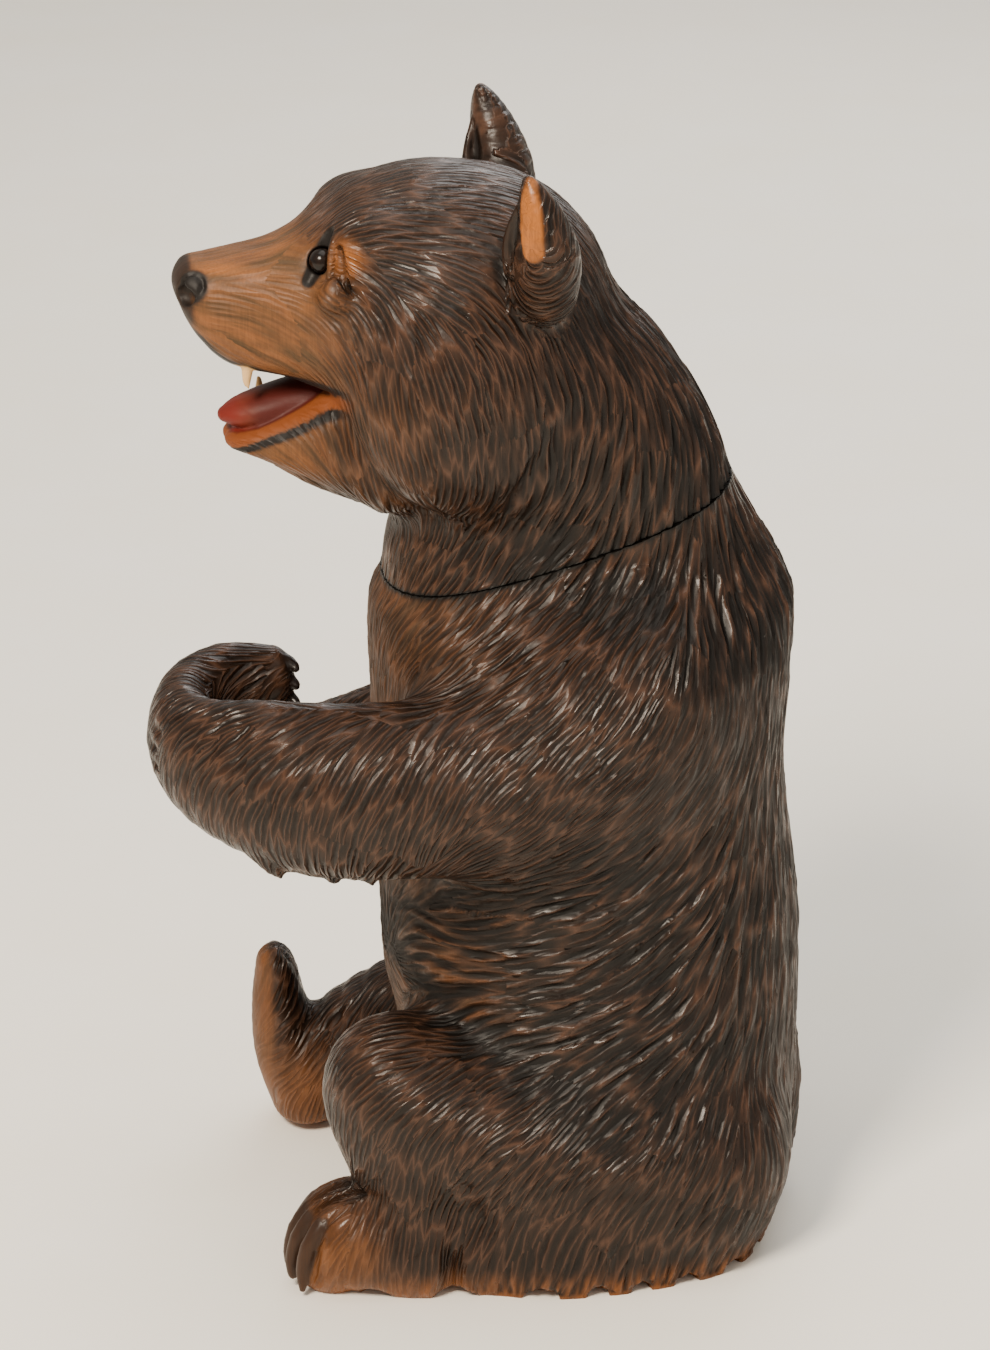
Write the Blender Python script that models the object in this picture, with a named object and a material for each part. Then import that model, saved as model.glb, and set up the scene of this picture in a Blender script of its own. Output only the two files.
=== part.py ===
"""Carved wooden bear that sits upright and holds its forearms out in front of it.

The figure is a jar. A saw cut through the neck parts it in two: the body, with a round well
bored down into it, and the head, which lifts off as the lid and has a low turned spigot that
drops into the well. Two small glass eyes are set in the head.

The bear faces -Y, its left side is +X and it stands on z = 0. The form is worked out in
millimetres as a level function, negative inside the wood and positive outside, from the
sizes below; a net of quads is laid round its zero level, the locks of the coat are cut into
that net, and Blender's own tools saw, bore and fit the pieces.
"""

import math

import bmesh
import bpy
import numpy as np
from mathutils import Matrix, Vector

MM = 0.001

# The saw cut at the neck: the point where it meets the throat, and its rise to the back.
SEAM_Y = -47.5
SEAM_Z = 187.3
SEAM_RISE = 0.291
SEAM_GAP = 0.3

# The bored well and the lid's spigot.
WELL_Y = 0.0
WELL_RADIUS = 24.0
WELL_FLOOR = 84.0
SPIGOT_RADIUS = 23.2
SPIGOT_DEPTH = 7.0

# The eyes.
EYE_RADIUS = 3.3
EYE_PLACE = (16.9, -65.0, 278.8)
EYE_GAP = 0.3

# The canine teeth: root and tip of the upper and of the lower one, on the bear's left.
TEETH = [((8.8, -85.5, 250.5), (8.3, -86.3, 244.6)), ((8.6, -80.5, 232.5), (8.3, -81.5, 237.4))]
TOOTH_ROOT = 1.9
TOOTH_TIP = 0.7

# The figure's own middle is not the middle of its box, so everything moves by this much.
SHIFT = (2.0, 23.5, 0.0)

# Profiles of the trunk: rows of height and size.
TRUNK_BACK = [(-8, 59), (10, 60.5), (45, 64.5), (85, 64.8), (115, 61.4), (139, 59.4), (160, 60.6),
              (178, 61.6), (190, 57.5), (202, 50.5), (214, 44.0), (224, 40.8), (240, 33), (256, 21.5),
              (270, 8.5), (280, -2)]
TRUNK_FRONT = [(-8, -40), (20, -42), (56, -45), (74, -48.7), (95, -50.2), (120, -51), (150, -51.5),
               (170, -52.2), (179, -51.8), (187, -48.6), (196, -47.6), (205, -45), (220, -38), (240, -30)]
TRUNK_HALF_WIDTH = [(-8, 61.5), (10, 61.5), (40, 60), (70, 56.5), (95, 53), (125, 52), (150, 54), (166, 54),
                    (178, 49.5), (188, 42), (196, 37.5), (206, 36.5), (225, 38), (245, 36), (262, 28)]
TRUNK_MIDDLE = [(-8, -4), (60, 0), (150, 4), (190, -2), (214, -2), (245, -6)]
TRUNK_ROUNDNESS = 2.25
TRUNK_TOP = 268.0

# Profiles of the muzzle and of the lower jaw along Y, from the tip backwards.
MUZZLE_TOP = [(-102, 271.5), (-99, 275.0), (-94, 276.4), (-87, 277.7), (-78, 279.4), (-71, 282.2), (-64, 286.2),
              (-56, 290)]
MUZZLE_LOW = [(-102, 266), (-99, 260.8), (-96, 256), (-92, 251.4), (-88, 248.6), (-80, 246.0), (-66, 243.6), (-55, 243)]
MUZZLE_HALF_WIDTH = [(-102, 8.5), (-99, 11), (-95, 13), (-88, 15), (-80, 17), (-70, 20.5), (-60, 24), (-50, 27)]
JAW_TOP = [(-90, 229.0), (-86, 230.4), (-78, 234.5), (-70, 239.0), (-62, 243), (-50, 246)]
JAW_LOW = [(-90, 226.0), (-86, 224.6), (-78, 221.2), (-70, 217.6), (-60, 212.6), (-50, 207)]
JAW_HALF_WIDTH = [(-90, 6), (-87, 9), (-80, 12.5), (-70, 17), (-60, 22), (-50, 27)]
LIP_LINE = [(-110, 261), (-96, 255.8), (-92, 251.2), (-88, 248.5), (-80, 246.0), (-72, 244.4), (-64, 243.6), (-60, 243.3)]
GUM_LINE = [(-110, 227.4), (-90, 229.4), (-80, 233.4), (-72, 237.2), (-64, 241.6), (-60, 243.0)]

# The locks below the forearms: their places along Y and how far they hang.
FRINGE = [(-58.5, 9.2), (-63.5, 7.0), (-68.0, 9.0), (-73.0, 6.6), (-78.0, 5.0), (-82.5, 7.4), (-88.5, 3.8), (-93.5, 3.0),
          (-98.5, 2.4), (-103.0, 1.8)]

# Fingers and toes: how far apart they are, and the places of the grooves between them.
FINGER_PITCH = 5.0
FINGER_STEPS = [FINGER_PITCH * k for k in (-2, -1, 0, 1, 2)]
TOE_PITCH = 5.6
TOE_STEPS = [TOE_PITCH * k for k in (-2, -1, 0, 1, 2)]

# The hem of the coat, cut into notches where it meets the ground.
HEM_LOCKS = 26
HEM_NOTCH = 3.0
HEM_DEPTH = 5.0

# The form runs on a little below the ground and is sawn off flat there.
FOOT = -4.0

# Box that the whole figure lies in.
LOW = np.array([-80.0, -122.0, -8.0])
HIGH = np.array([76.0, 76.0, 314.0])

# How the coat lies, seen from the side: the slope of its locks in degrees from straight down,
# turned towards the front, for rows of places along Y (front to back) at each height.
COAT_PLACES = [-100, -75, -50, -25, 0, 25, 50, 70]
COAT_SLOPES = [
    (0, (20, 10, 0, 4, 8, 12, 8, 4)),
    (25, (70, 60, 8, 24, 32, 28, 10, 4)),
    (50, (0, 10, 20, 46, 54, 40, 14, 4)),
    (75, (0, 60, 86, 82, 68, 46, 14, 4)),
    (100, (0, 0, 80, 84, 74, 48, 14, 2)),
    (125, (0, -6, 8, 64, 60, 42, 10, 2)),
    (150, (30, 14, 28, 42, 48, 36, 6, 0)),
    (175, (100, 92, 62, 46, 40, 22, 4, 0)),
    (200, (0, 0, 20, 42, 36, 16, -4, -8)),
    (220, (-60, -50, -5, 10, 20, 10, 0, -5)),
    (240, (-70, -60, -5, -12, 0, -8, -15, -15)),
    (260, (-75, -60, -25, -22, -12, -18, -20, -20)),
    (280, (-100, -100, -70, -50, -28, -20, -15, -10)),
    (300, (-110, -110, -100, -88, -70, -45, -35, -30)),
]

# The locks cut into the coat: width, length and depth on the body and on the head.
BODY_LOCK = (10.0, 32.0, 2.0)
HEAD_LOCK = (8.0, 24.0, 1.4)
LOCK_SAMPLES = 13

# The grid that the net is laid on, and how it is mended where surfaces only just touch.
NET_CELL = 2.2
NET_BLOCK = 6
MEND_ROUNDS = 8
MEND_SKIN = 0.1
CORNERS = [(i, j, k) for i in (0, 1) for j in (0, 1) for k in (0, 1)]

# How many triangles the two carved solids keep, and how far past the seam they are thinned.
BODY_FACES = 5900
HEAD_FACES = 2450
SEAM_SPARE = 1.0

# Levels further out than this do not matter, and neither do limbs further away than REACH.
FAR = 40.0
REACH = 13.0


def curve(values, keys):
    """Smooth curve through rows of place and size that never overshoots them, flat past its ends."""
    places, sizes = np.asarray(keys, float).T
    steps = np.diff(places)
    rises = np.diff(sizes) / steps
    slopes = np.zeros(len(places))
    same = rises[:-1] * rises[1:] > 0
    slopes[1:-1] = np.where(same, 2 * rises[:-1] * rises[1:] / np.where(same, rises[:-1] + rises[1:], 1), 0)
    slopes[0], slopes[-1] = rises[0], rises[-1]
    values = np.clip(values, places[0], places[-1])
    i = np.clip(np.searchsorted(places, values, side="right") - 1, 0, len(places) - 2)
    t = (values - places[i]) / steps[i]
    start = (2 * t ** 3 - 3 * t ** 2 + 1) * sizes[i] + (t ** 3 - 2 * t ** 2 + t) * steps[i] * slopes[i]
    end = (3 * t ** 2 - 2 * t ** 3) * sizes[i + 1] + (t ** 3 - t ** 2) * steps[i] * slopes[i + 1]
    return start + end


def join(a, b, blend):
    """Union of two levels with a fillet of about the width blend."""
    share = np.clip(0.5 + 0.5 * (b - a) / blend, 0, 1)
    return b + (a - b) * share - blend * share * (1 - share)


def cut(a, b, blend):
    """The level a with the level b taken out of it and the edge rounded by blend."""
    return -join(-a, b, blend)


def turn(x=0.0, y=0.0, z=0.0):
    """Rotation matrix for turns in degrees about X, then Y, then Z."""
    spin = Matrix.Rotation(math.radians(z), 3, "Z") @ Matrix.Rotation(math.radians(y), 3, "Y")
    return np.array(spin @ Matrix.Rotation(math.radians(x), 3, "X"))


def mirrored(points):
    """The points with both sides of the bear folded onto its left."""
    folded = points.copy()
    folded[:, 0] = np.abs(folded[:, 0])
    return folded


def ellipsoid(points, centre, radii, frame=None):
    """Level of an ellipsoid: the scaled radius less one, brought back to millimetres."""
    away = points - np.asarray(centre, float)
    if frame is not None:
        away = away @ frame
    radii = np.asarray(radii, float)
    scaled = np.sqrt(((away / radii) ** 2).sum(1)) + 1e-9
    slope = np.sqrt(((away / radii ** 2) ** 2).sum(1)) + 1e-9
    return scaled * (scaled - 1) / slope


def limb(points, keys, stretch=(1, 1, 1), count=12):
    """Level of a limb: a round section whose radius changes along a smooth line through the keys.

    A key is x, y, z and radius. The stretch makes the section oval: it scales each axis.
    """
    stretch = np.asarray(stretch, float)
    keys = np.asarray(keys, float)
    level = np.full(len(points), FAR)
    low = (keys[:, :3] - keys[:, 3:] * stretch).min(0) - REACH
    high = (keys[:, :3] + keys[:, 3:] * stretch).max(0) + REACH
    close = ((points > low) & (points < high)).all(1)
    if not close.any():
        return level
    ends = np.vstack([2 * keys[0] - keys[1], keys, 2 * keys[-1] - keys[-2]])
    place = np.linspace(0, len(keys) - 1 - 1e-9, count)
    i = place.astype(int)
    t = (place - i)[:, None]
    a, b, c, d = ends[i], ends[i + 1], ends[i + 2], ends[i + 3]
    line = 0.5 * (2 * b + (c - a) * t + (2 * a - 5 * b + 4 * c - d) * t ** 2 + (3 * b - a - 3 * c + d) * t ** 3)
    middles, radii = line[:, :3] / stretch, line[:, 3]
    near = points[close] / stretch
    best = np.full(len(near), FAR)
    for k in range(count - 1):
        along = middles[k + 1] - middles[k]
        away = near - middles[k]
        share = np.clip(away @ along / (along @ along), 0, 1)
        reach = np.sqrt(((away - share[:, None] * along) ** 2).sum(1))
        best = np.minimum(best, reach - radii[k] - (radii[k + 1] - radii[k]) * share)
    level[close] = best * stretch.min()
    return level


def oval(across, over, half_width, half_height, roundness):
    """Level of an oval section, given the two distances from its middle."""
    reach = np.sqrt(across ** 2 + over ** 2) + 1e-9
    scaled = (np.abs(across / half_width) ** roundness + np.abs(over / half_height) ** roundness) ** (1 / roundness)
    return (reach - reach / np.maximum(scaled, 1e-6)) * 0.92


def trunk(points):
    """Upright ovals from the base to the nape."""
    x, y, z = points.T
    middle = curve(z, TRUNK_MIDDLE)
    deep = np.where(y > middle, curve(z, TRUNK_BACK) - middle, middle - curve(z, TRUNK_FRONT))
    level = oval(x, y - middle, curve(z, TRUNK_HALF_WIDTH), deep, TRUNK_ROUNDNESS)
    return -join(-level, TRUNK_TOP - z, 16)


def lofted(points, top, low, half_width, roundness, front, rear, blend):
    """Ovals across the bear from front to rear along Y, with the front end rounded by blend."""
    x, y, z = points.T
    high, deep = curve(y, top), curve(y, low)
    level = oval(x, z - (high + deep) / 2, curve(y, half_width), (high - deep) / 2, roundness)
    return -join(-level, -np.maximum(front - y, y - rear), blend)


def mouth(points):
    """The open mouth: a wedge between lip and gum, right through, with a vault over the tongue."""
    x, y, z = points.T
    wedge = np.maximum(z - curve(y, LIP_LINE), curve(y, GUM_LINE) - z)
    wedge = np.maximum(wedge, y + 63)
    return join(wedge, ellipsoid(points, (0, -76, 243.0), (12.0, 16, 7.5)), 1.5)


def ear(points):
    """One upright pointed ear, round behind."""
    keys = [(37, -10.5, 276, 9.5), (40.5, -10.8, 284, 10.0), (43, -12.6, 293, 7.8), (44.2, -14.6, 300.5, 4.8),
            (44.2, -16.0, 305, 2.2)]
    return limb(points, keys, (1.1, 0.86, 1))


def ear_hollow(points):
    """The hollow in the front of the ear."""
    keys = [(35.0, -22, 281, 5.2), (37.5, -22.0, 288, 5.4), (41.0, -22.0, 295.5, 3.9), (43.2, -21.5, 301, 1.8)]
    return limb(points, keys, (1.2, 0.95, 1))


def ruff_crease(points):
    """The deep furrow that parts the cheek's ruff from the neck, from the ear down to the seam."""
    keys = [(39.5, 2, 246, 1.4), (43.5, -7.5, 237, 2.2), (41.5, -17, 221, 2.4), (33, -26.5, 204, 2.2), (29, -33, 193, 1.6)]
    return limb(points, keys)


def head(points):
    """Skull, brow, cheeks, muzzle, jaw, tongue and ears."""
    folded = mirrored(points)
    level = ellipsoid(points, (0, -28, 258), (41.5, 41, 39.8))
    level = join(level, ellipsoid(points, (0, -41, 280.5), (21, 18.5, 15)), 10)
    level = join(level, ellipsoid(folded, (25.5, -25, 238), (20, 31, 27)), 12)
    level = join(level, ellipsoid(folded, (17.5, -52, 284.0), (8.5, 10, 6.8)), 6)
    level = join(level, lofted(points, MUZZLE_TOP, MUZZLE_LOW, MUZZLE_HALF_WIDTH, 2.7, -100.8, -45, 3.5), 9)
    level = join(level, lofted(points, JAW_TOP, JAW_LOW, JAW_HALF_WIDTH, 2.5, -89.5, -40, 3), 2.5)
    level = cut(level, mouth(points), 1.2)
    tongue = [(0, -60, 240.0, 7.2), (0, -72, 237.0, 7.2), (0, -82, 234.2, 6.4), (0, -88.0, 233.4, 3.2)]
    level = join(level, limb(points, tongue, (1.2, 1, 0.7)), 0.8)
    level = cut(level, ellipsoid(folded, (24.5, -68.5, 279.5), (7.0, 4.6, 8.5), turn(x=-18, z=32)), 4)
    level = join(level, ellipsoid(folded, (23.5, -62.5, 270.8), (4.4, 4.4, 3.6)), 3)
    level = join(level, ellipsoid(points, (0, -96.5, 270), (10.5, 5.5, 5.6)), 2)
    flap = [(0, -75, 221.4, 2.8), (0, -66, 217.4, 4.0), (0, -55, 212.5, 4.0)]
    level = join(level, limb(points, flap, (2.4, 1, 1), 6), 1)
    level = cut(level, ruff_crease(folded), 3)
    level = cut(level, ellipsoid(folded, (8.6, -98.8, 268.6), (3.4, 2.2, 2.6), turn(z=40)), 1)
    level = join(level, ear(folded), 4)
    return cut(level, ear_hollow(folded), 1.6)


def left_arm(points):
    """The near forearm: straight out, then curling inwards round an open palm."""
    keys = [(38, 16, 160, 21), (45, -2, 151, 21.5), (48, -24, 145.5, 20.5), (48.5, -48, 145, 20), (48, -70, 146.5, 19.3),
            (45.5, -86, 149.5, 17.6), (38, -98.5, 151.5, 14.4), (26, -104, 154, 12), (13, -101, 157.5, 10.6),
            (5, -91, 160, 9.4), (4, -79, 160, 8.0)]
    return limb(points, keys, (0.80, 0.80, 1.22), 28)


def right_arm(points):
    """The far forearm, held lower, with the paw curling inwards too."""
    keys = [(-38, 14, 158, 21), (-45, 2, 143, 21), (-49, -14, 127, 20), (-49, -34, 117, 18.5), (-47, -54, 113, 16.5),
            (-43, -69, 113, 14.8), (-34, -80, 114, 12.8), (-22, -85, 115.5, 11.4), (-11, -83, 117, 10.4),
            (-4, -75, 117, 9.0)]
    return limb(points, keys, (0.80, 0.80, 1.2), 26)


def fringe(points):
    """Pointed locks that hang below each forearm, longest towards the elbow."""
    level = np.full(len(points), FAR)
    for k, (y, reach) in enumerate(FRINGE):
        bend = 0.0 if y > -88 else -0.5 * (y + 88)
        middle = 48.5 - bend
        top = 128.5 + 0.6 * bend + 0.10 * max(0, -62 - y)
        lock = [(middle, y - 2.5, top, 4.2), (middle + 0.6, y - 0.6, top - reach * 0.5, 3.0),
                (middle + 1.0, y + 1.2, top - reach, 0.8)]
        level = np.minimum(level, limb(points, lock, count=5))
        y, top = y + 12, top - 24
        lock = [(-47.5, y - 2.5, top - 6, 4.0), (-48, y, top - 6 - reach * 0.4, 2.6), (-48, y + 1, top - 2 - reach, 0.8)]
        if k < len(FRINGE) // 2:
            level = np.minimum(level, limb(points, lock, count=5))
    return level


def fingers(points):
    """Grooves between the fingers on the outside of each curled paw."""
    level = np.full(len(points), FAR)
    for step in FINGER_STEPS:
        z = 157.5 + step
        left = [(35, -111, z - 3, 0.8), (26, -116.2, z - 1.5, 1.6), (13, -112.5, z, 1.8), (2, -104, z + 0.5, 1.8),
                (-6.0, -92, z + 1, 1.6)]
        level = np.minimum(level, limb(points, left, (1, 1, 0.7)))
        z = 115.5 + step
        right = [(-31, -92, z - 1, 0.8), (-22, -97, z, 1.6), (-9, -94, z, 1.8), (2, -84, z, 1.8), (5.5, -75, z, 1.6)]
        level = np.minimum(level, limb(points, right, (1, 1, 0.7)))
    return level


def paw_claws(points):
    """Dark claws along the ends of the fingers."""
    level = np.full(len(points), FAR)
    for step in FINGER_STEPS[:-1]:
        z = 157.5 + step + FINGER_PITCH / 2
        left = [(2.5, -84, z + 1, 2.5), (3.5, -78, z + 1, 2.4), (6, -73.5, z, 1.8), (9.0, -72, z - 1, 0.8)]
        level = np.minimum(level, limb(points, left, count=6))
        z = 115.5 + step + FINGER_PITCH / 2
        right = [(-3, -79, z, 2.5), (-4, -73, z, 2.4), (-6.5, -68.5, z - 0.5, 1.8), (-9.5, -67, z - 1.5, 0.8)]
        level = np.minimum(level, limb(points, right, count=6))
    return level


def toes(points):
    """Grooves between the toes of the flat foot, and of the upright one, from instep to tip."""
    level = np.full(len(points), FAR)
    for step in TOE_STEPS:
        x = 42.3 + step
        back = 0.035 * step ** 2
        flat = [(x + 0.2 * step, -57, 29.5, 0.6), (x, -66 + back, 29.5, 1.7), (x, -76 + back, 24, 2.0),
                (x, -79.5 + back, 14, 1.9), (x, -80 + back, 3, 1.6)]
        level = np.minimum(level, limb(points, flat))
        x = -55.5 + 0.75 * step
        upright = [(x, -62, 43, 0.6), (x, -66.5, 50, 1.5), (x, -72.5, 56.5, 1.7), (x, -79.5, 54, 1.3)]
        level = np.minimum(level, limb(points, upright))
    return level


def toe_claws(points):
    """Long dark claws that lie down the front of the flat foot's toes."""
    level = np.full(len(points), FAR)
    for step in TOE_STEPS[:-1]:
        x = 42.3 + step + TOE_PITCH / 2
        back = 0.035 * (step + TOE_PITCH / 2) ** 2
        claw = [(x, -74.5 + back, 21.0, 1.8), (x, -78.2 + back, 15, 2.3), (x, -80.0 + back, 8, 1.9),
                (x, -80.0 + back, 2.5, 1.0)]
        level = np.minimum(level, limb(points, claw, count=7))
    return level


def haunch_crease(points):
    """Furrow between the shin and the haunch, from under the knee down to the ground."""
    keys = [(61.5, -35, 34, 0.6), (60.5, -36.5, 25, 1.8), (59, -37.5, 13, 2.4), (58, -38.5, -2, 2.4)]
    return limb(points, keys)


def hem(points):
    """Notches under the edge of the coat, all round where it meets the ground."""
    x, y, z = points.T
    around = np.arctan2(x, -y)
    waves = np.sin(HEM_LOCKS * around + 1.7 * np.sin(3 * around) + 0.8 * np.sin(7 * around + 1))
    return z - HEM_NOTCH * np.clip(waves, 0, 1) ** 0.7 + 0.4


def palm(points):
    """Open space between forearm and fingers, straight up and down, one in each paw."""
    left = limb(points, [(24, -84, 140, 9.5), (24, -84, 200, 9.5)], (1.0, 1.25, 1), 3)
    right = limb(points, [(-25, -67, 70, 9), (-25, -67, 150, 9)], (1.0, 1.15, 1), 3)
    return np.minimum(left, right)


def left_leg(points):
    """The bent leg: thigh, knee, shin and a foot flat on the ground."""
    thigh = limb(points, [(34, 30, 28, 28), (35.5, 0, 36, 29), (38.5, -28, 45, 26), (42.5, -50, 56, 18.5)])
    shin = limb(points, [(43, -46, 58, 18), (43.5, -53, 59, 16.5), (43.5, -51, 40, 14.5), (43.5, -44, 22, 13.5)])
    foot = limb(points, [(43.5, -40, 10, 15), (43, -54, 12, 15.5), (42.5, -64, 14, 15.2), (42, -68, 10, 13.0)])
    return join(join(thigh, shin, 7), foot, 4.5)


def right_leg(points):
    """The stretched leg, with its foot upright on the heel."""
    leg = limb(points, [(-34, 30, 28, 28), (-37.5, 0, 31, 26.5), (-44.5, -24, 33, 23), (-51, -44, 28, 17.5),
                        (-54, -60, 20, 13.5)])
    foot = limb(points, [(-55, -66, 10, 12.5), (-55.5, -70.5, 23, 11.8), (-55.5, -72.8, 36, 9.6),
                         (-55.5, -73.5, 48, 7.2)], (1.15, 0.82, 1))
    return join(leg, foot, 4.5)


def haunch(points):
    """The wide seat beside each thigh, down on the ground."""
    keys = [(34, 24, 12, 25), (38, -8, 12, 24), (41, -30, 10, 18), (43, -44, 8, 13)]
    return limb(mirrored(points), keys)


def tail(points):
    """A short tail that hangs down the middle of the back of the seat."""
    return limb(points, [(0, 58, 58, 4), (0, 59.5, 40, 7.5), (0, 60, 24, 8), (0, 60.5, 10, 6)])


def bear(points):
    """The whole figure, before its coat is cut."""
    level = trunk(points)
    level = join(level, left_arm(points), 13)
    level = join(level, right_arm(points), 12)
    level = cut(level, palm(points), 1.5)
    level = join(level, haunch(points), 8)
    level = join(level, left_leg(points), 8)
    level = join(level, right_leg(points), 8)
    level = join(level, tail(points), 5)
    level = join(level, fringe(points), 1.5)
    level = cut(level, fingers(points), 1.5)
    level = join(level, paw_claws(points), 0.7)
    level = cut(level, toes(points), 2)
    level = join(level, toe_claws(points), 0.7)
    level = cut(level, haunch_crease(points), 4)
    level = cut(level, np.maximum(hem(points), -level - HEM_DEPTH), 0.6)
    return np.maximum(join(level, head(points), 7), FOOT - points[:, 2])


def lie_of_coat(points, normals):
    """Unit direction of the hair at each point: the chart's slope, laid flat on the surface."""
    heights = np.array([row[0] for row in COAT_SLOPES], float)
    slopes = np.radians([row[1] for row in COAT_SLOPES])
    places = np.asarray(COAT_PLACES, float)
    u = np.clip(points[:, 1], places[0], places[-1] - 1e-6)
    v = np.clip(points[:, 2], heights[0], heights[-1] - 1e-6)
    i = np.searchsorted(heights, v, side="right") - 1
    j = np.searchsorted(places, u, side="right") - 1
    s = (v - heights[i]) / (heights[i + 1] - heights[i])
    t = (u - places[j]) / (places[j + 1] - places[j])
    parts = []
    for wave in (np.sin(slopes), np.cos(slopes)):
        low = wave[i, j] * (1 - t) + wave[i, j + 1] * t
        high = wave[i + 1, j] * (1 - t) + wave[i + 1, j + 1] * t
        parts.append(low * (1 - s) + high * s)
    way = np.stack([0 * parts[0], -parts[0], -parts[1]], 1)
    way -= (way * normals).sum(1)[:, None] * normals
    return way / (np.linalg.norm(way, axis=1)[:, None] + 1e-9)


def slope_of(level, points, step=0.3):
    """Outward normals of a level, and its steepness, from differences along each axis."""
    slope = np.empty_like(points)
    for axis in range(3):
        side = np.zeros(3)
        side[axis] = step
        slope[:, axis] = (level(points + side) - level(points - side)) / (2 * step)
    steep = np.linalg.norm(slope, axis=1) + 1e-9
    return slope / steep[:, None], steep


def level_grid(level, low, high, cell, block):
    """Level on a cubic grid, worked out only in the blocks that the surface comes near."""
    blocks = np.ceil((high - low) / (cell * block)).astype(int)
    corners = np.stack(np.meshgrid(*[np.arange(n + 1) for n in blocks], indexing="ij"), -1)
    coarse = level((low + corners.reshape(-1, 3) * cell * block)).reshape(corners.shape[:3])
    close = np.abs(coarse) < cell * block * 1.75
    busy = np.zeros(blocks, bool)
    for i in (0, 1):
        for j in (0, 1):
            for k in (0, 1):
                busy |= close[i:i + blocks[0], j:j + blocks[1], k:k + blocks[2]]
    sign = np.where(coarse[:-1, :-1, :-1] < 0, -FAR, FAR)
    for axis in range(3):
        busy = np.repeat(busy, block, axis)
        sign = np.repeat(sign, block, axis)
    values = np.full(blocks * block + 1, FAR)
    values[:-1, :-1, :-1] = sign
    wanted = np.zeros(values.shape, bool)
    wanted[:-1, :-1, :-1] = busy
    for axis in range(3):
        wanted |= np.roll(wanted, 1, axis)
    places = np.argwhere(wanted)
    found = [level(low + part * cell) for part in np.array_split(places, len(places) // 60000 + 1)]
    values[wanted] = np.concatenate(found)
    return values


def mended(values):
    """The grid with wood filled in wherever two parts of the surface would only just touch.

    That is where inside and outside corners cross on a square, or sit at a cell's far ends.
    """
    values = values.copy()
    for _ in range(MEND_ROUNDS):
        inside = values < 0
        fill = np.zeros(values.shape, bool)
        for axis in range(3):
            flat = np.moveaxis(inside, axis, 0)
            a, b, c, d = flat[:, :-1, :-1], flat[:, 1:, :-1], flat[:, :-1, 1:], flat[:, 1:, 1:]
            crossed = (a == d) & (b == c) & (a != b)
            spread = np.moveaxis(fill, axis, 0)
            for i in (slice(None, -1), slice(1, None)):
                for j in (slice(None, -1), slice(1, None)):
                    spread[:, i, j] |= crossed
        ends = [[slice(k, n - 1 + k) for k, n in zip(corner, values.shape)] for corner in CORNERS]
        count = sum(inside[tuple(end)].astype(int) for end in ends)
        for near, far in zip(CORNERS[:4], CORNERS[:3:-1]):
            both = inside[tuple(ends[CORNERS.index(near)])] == inside[tuple(ends[CORNERS.index(far)])]
            same = inside[tuple(ends[CORNERS.index(near)])]
            apart = both & (((count == 2) & same) | ((count == 6) & ~same))
            for end in ends:
                fill[tuple(end)] |= apart
        fill &= ~inside
        if not fill.any():
            break
        values[fill] = -MEND_SKIN
    return values


def net(values, low, cell):
    """Quads round the zero level: one point in each cell that it crosses, amid its crossings."""
    shape = np.array(values.shape) - 1
    hits = np.zeros(shape)
    sums = np.zeros((*shape, 3))
    for axis in range(3):
        for near in (0, 1):
            for far in (0, 1):
                start = np.insert([near, far], axis, 0)
                end = start + (np.arange(3) == axis)
                a = values[tuple(slice(s, s + n) for s, n in zip(start, shape))]
                b = values[tuple(slice(s, s + n) for s, n in zip(end, shape))]
                crossed = (a < 0) != (b < 0)
                share = np.where(crossed, a / np.where(crossed, a - b, 1), 0)
                hits += crossed
                for k in range(3):
                    sums[..., k] += crossed * (share if k == axis else start[k])
    used = hits > 0
    numbers = np.full(shape, -1)
    numbers[used] = np.arange(used.sum())
    places = np.argwhere(used) + sums[used] / hits[used][:, None]
    quads = []
    for axis in range(3):
        left, right = (axis + 1) % 3, (axis + 2) % 3
        inner = [slice(1, -1)] * 3
        inner[axis] = slice(0, -1)
        outer = [slice(1, -1)] * 3
        outer[axis] = slice(1, None)
        a, b = values[tuple(inner)], values[tuple(outer)]
        crossed = (a < 0) != (b < 0)
        here = np.argwhere(crossed) + (np.arange(3) != axis)
        ring = []
        for back_left, back_right in ((1, 1), (0, 1), (0, 0), (1, 0)):
            cell_of = here.copy()
            cell_of[:, left] -= back_left
            cell_of[:, right] -= back_right
            ring.append(numbers[tuple(cell_of.T)])
        ring = np.stack(ring, 1)
        inwards = ~(a[crossed] < 0)
        ring[inwards] = ring[inwards][:, ::-1]
        quads.append(ring)
    return low + places * cell, np.concatenate(quads)


def starts(points, ways, width, length, seed):
    """Places where locks begin: points in a shuffled order, each kept if no kept one is too near.

    Nearness is measured in lock widths across the hair and in lock lengths along it.
    """
    order = np.random.default_rng(seed).permutation(len(points))
    kept = []
    for i in order:
        if kept:
            away = points[kept] - points[i]
            along = (away * ways[i]).sum(1)
            across = (away ** 2).sum(1) - along ** 2
            if ((along / (0.42 * length)) ** 2 + across / (0.62 * width) ** 2).min() < 1:
                continue
        kept.append(i)
    return np.array(kept)


def locks(level, begin, length):
    """Each lock's line over the surface: steps along the hair, each brought back to the level."""
    step = length / (LOCK_SAMPLES - 1)
    place = begin
    lines, normals, ways = [], [], []
    for k in range(LOCK_SAMPLES):
        normal, steep = slope_of(level, place)
        place = place - normal * np.clip(level(place) / steep, -1, 1)[:, None]
        way = lie_of_coat(place, normal)
        lines.append(place)
        normals.append(normal)
        ways.append(way)
        place = place + way * step
    return np.stack(lines, 1), np.stack(normals, 1), np.stack(ways, 1)


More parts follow.
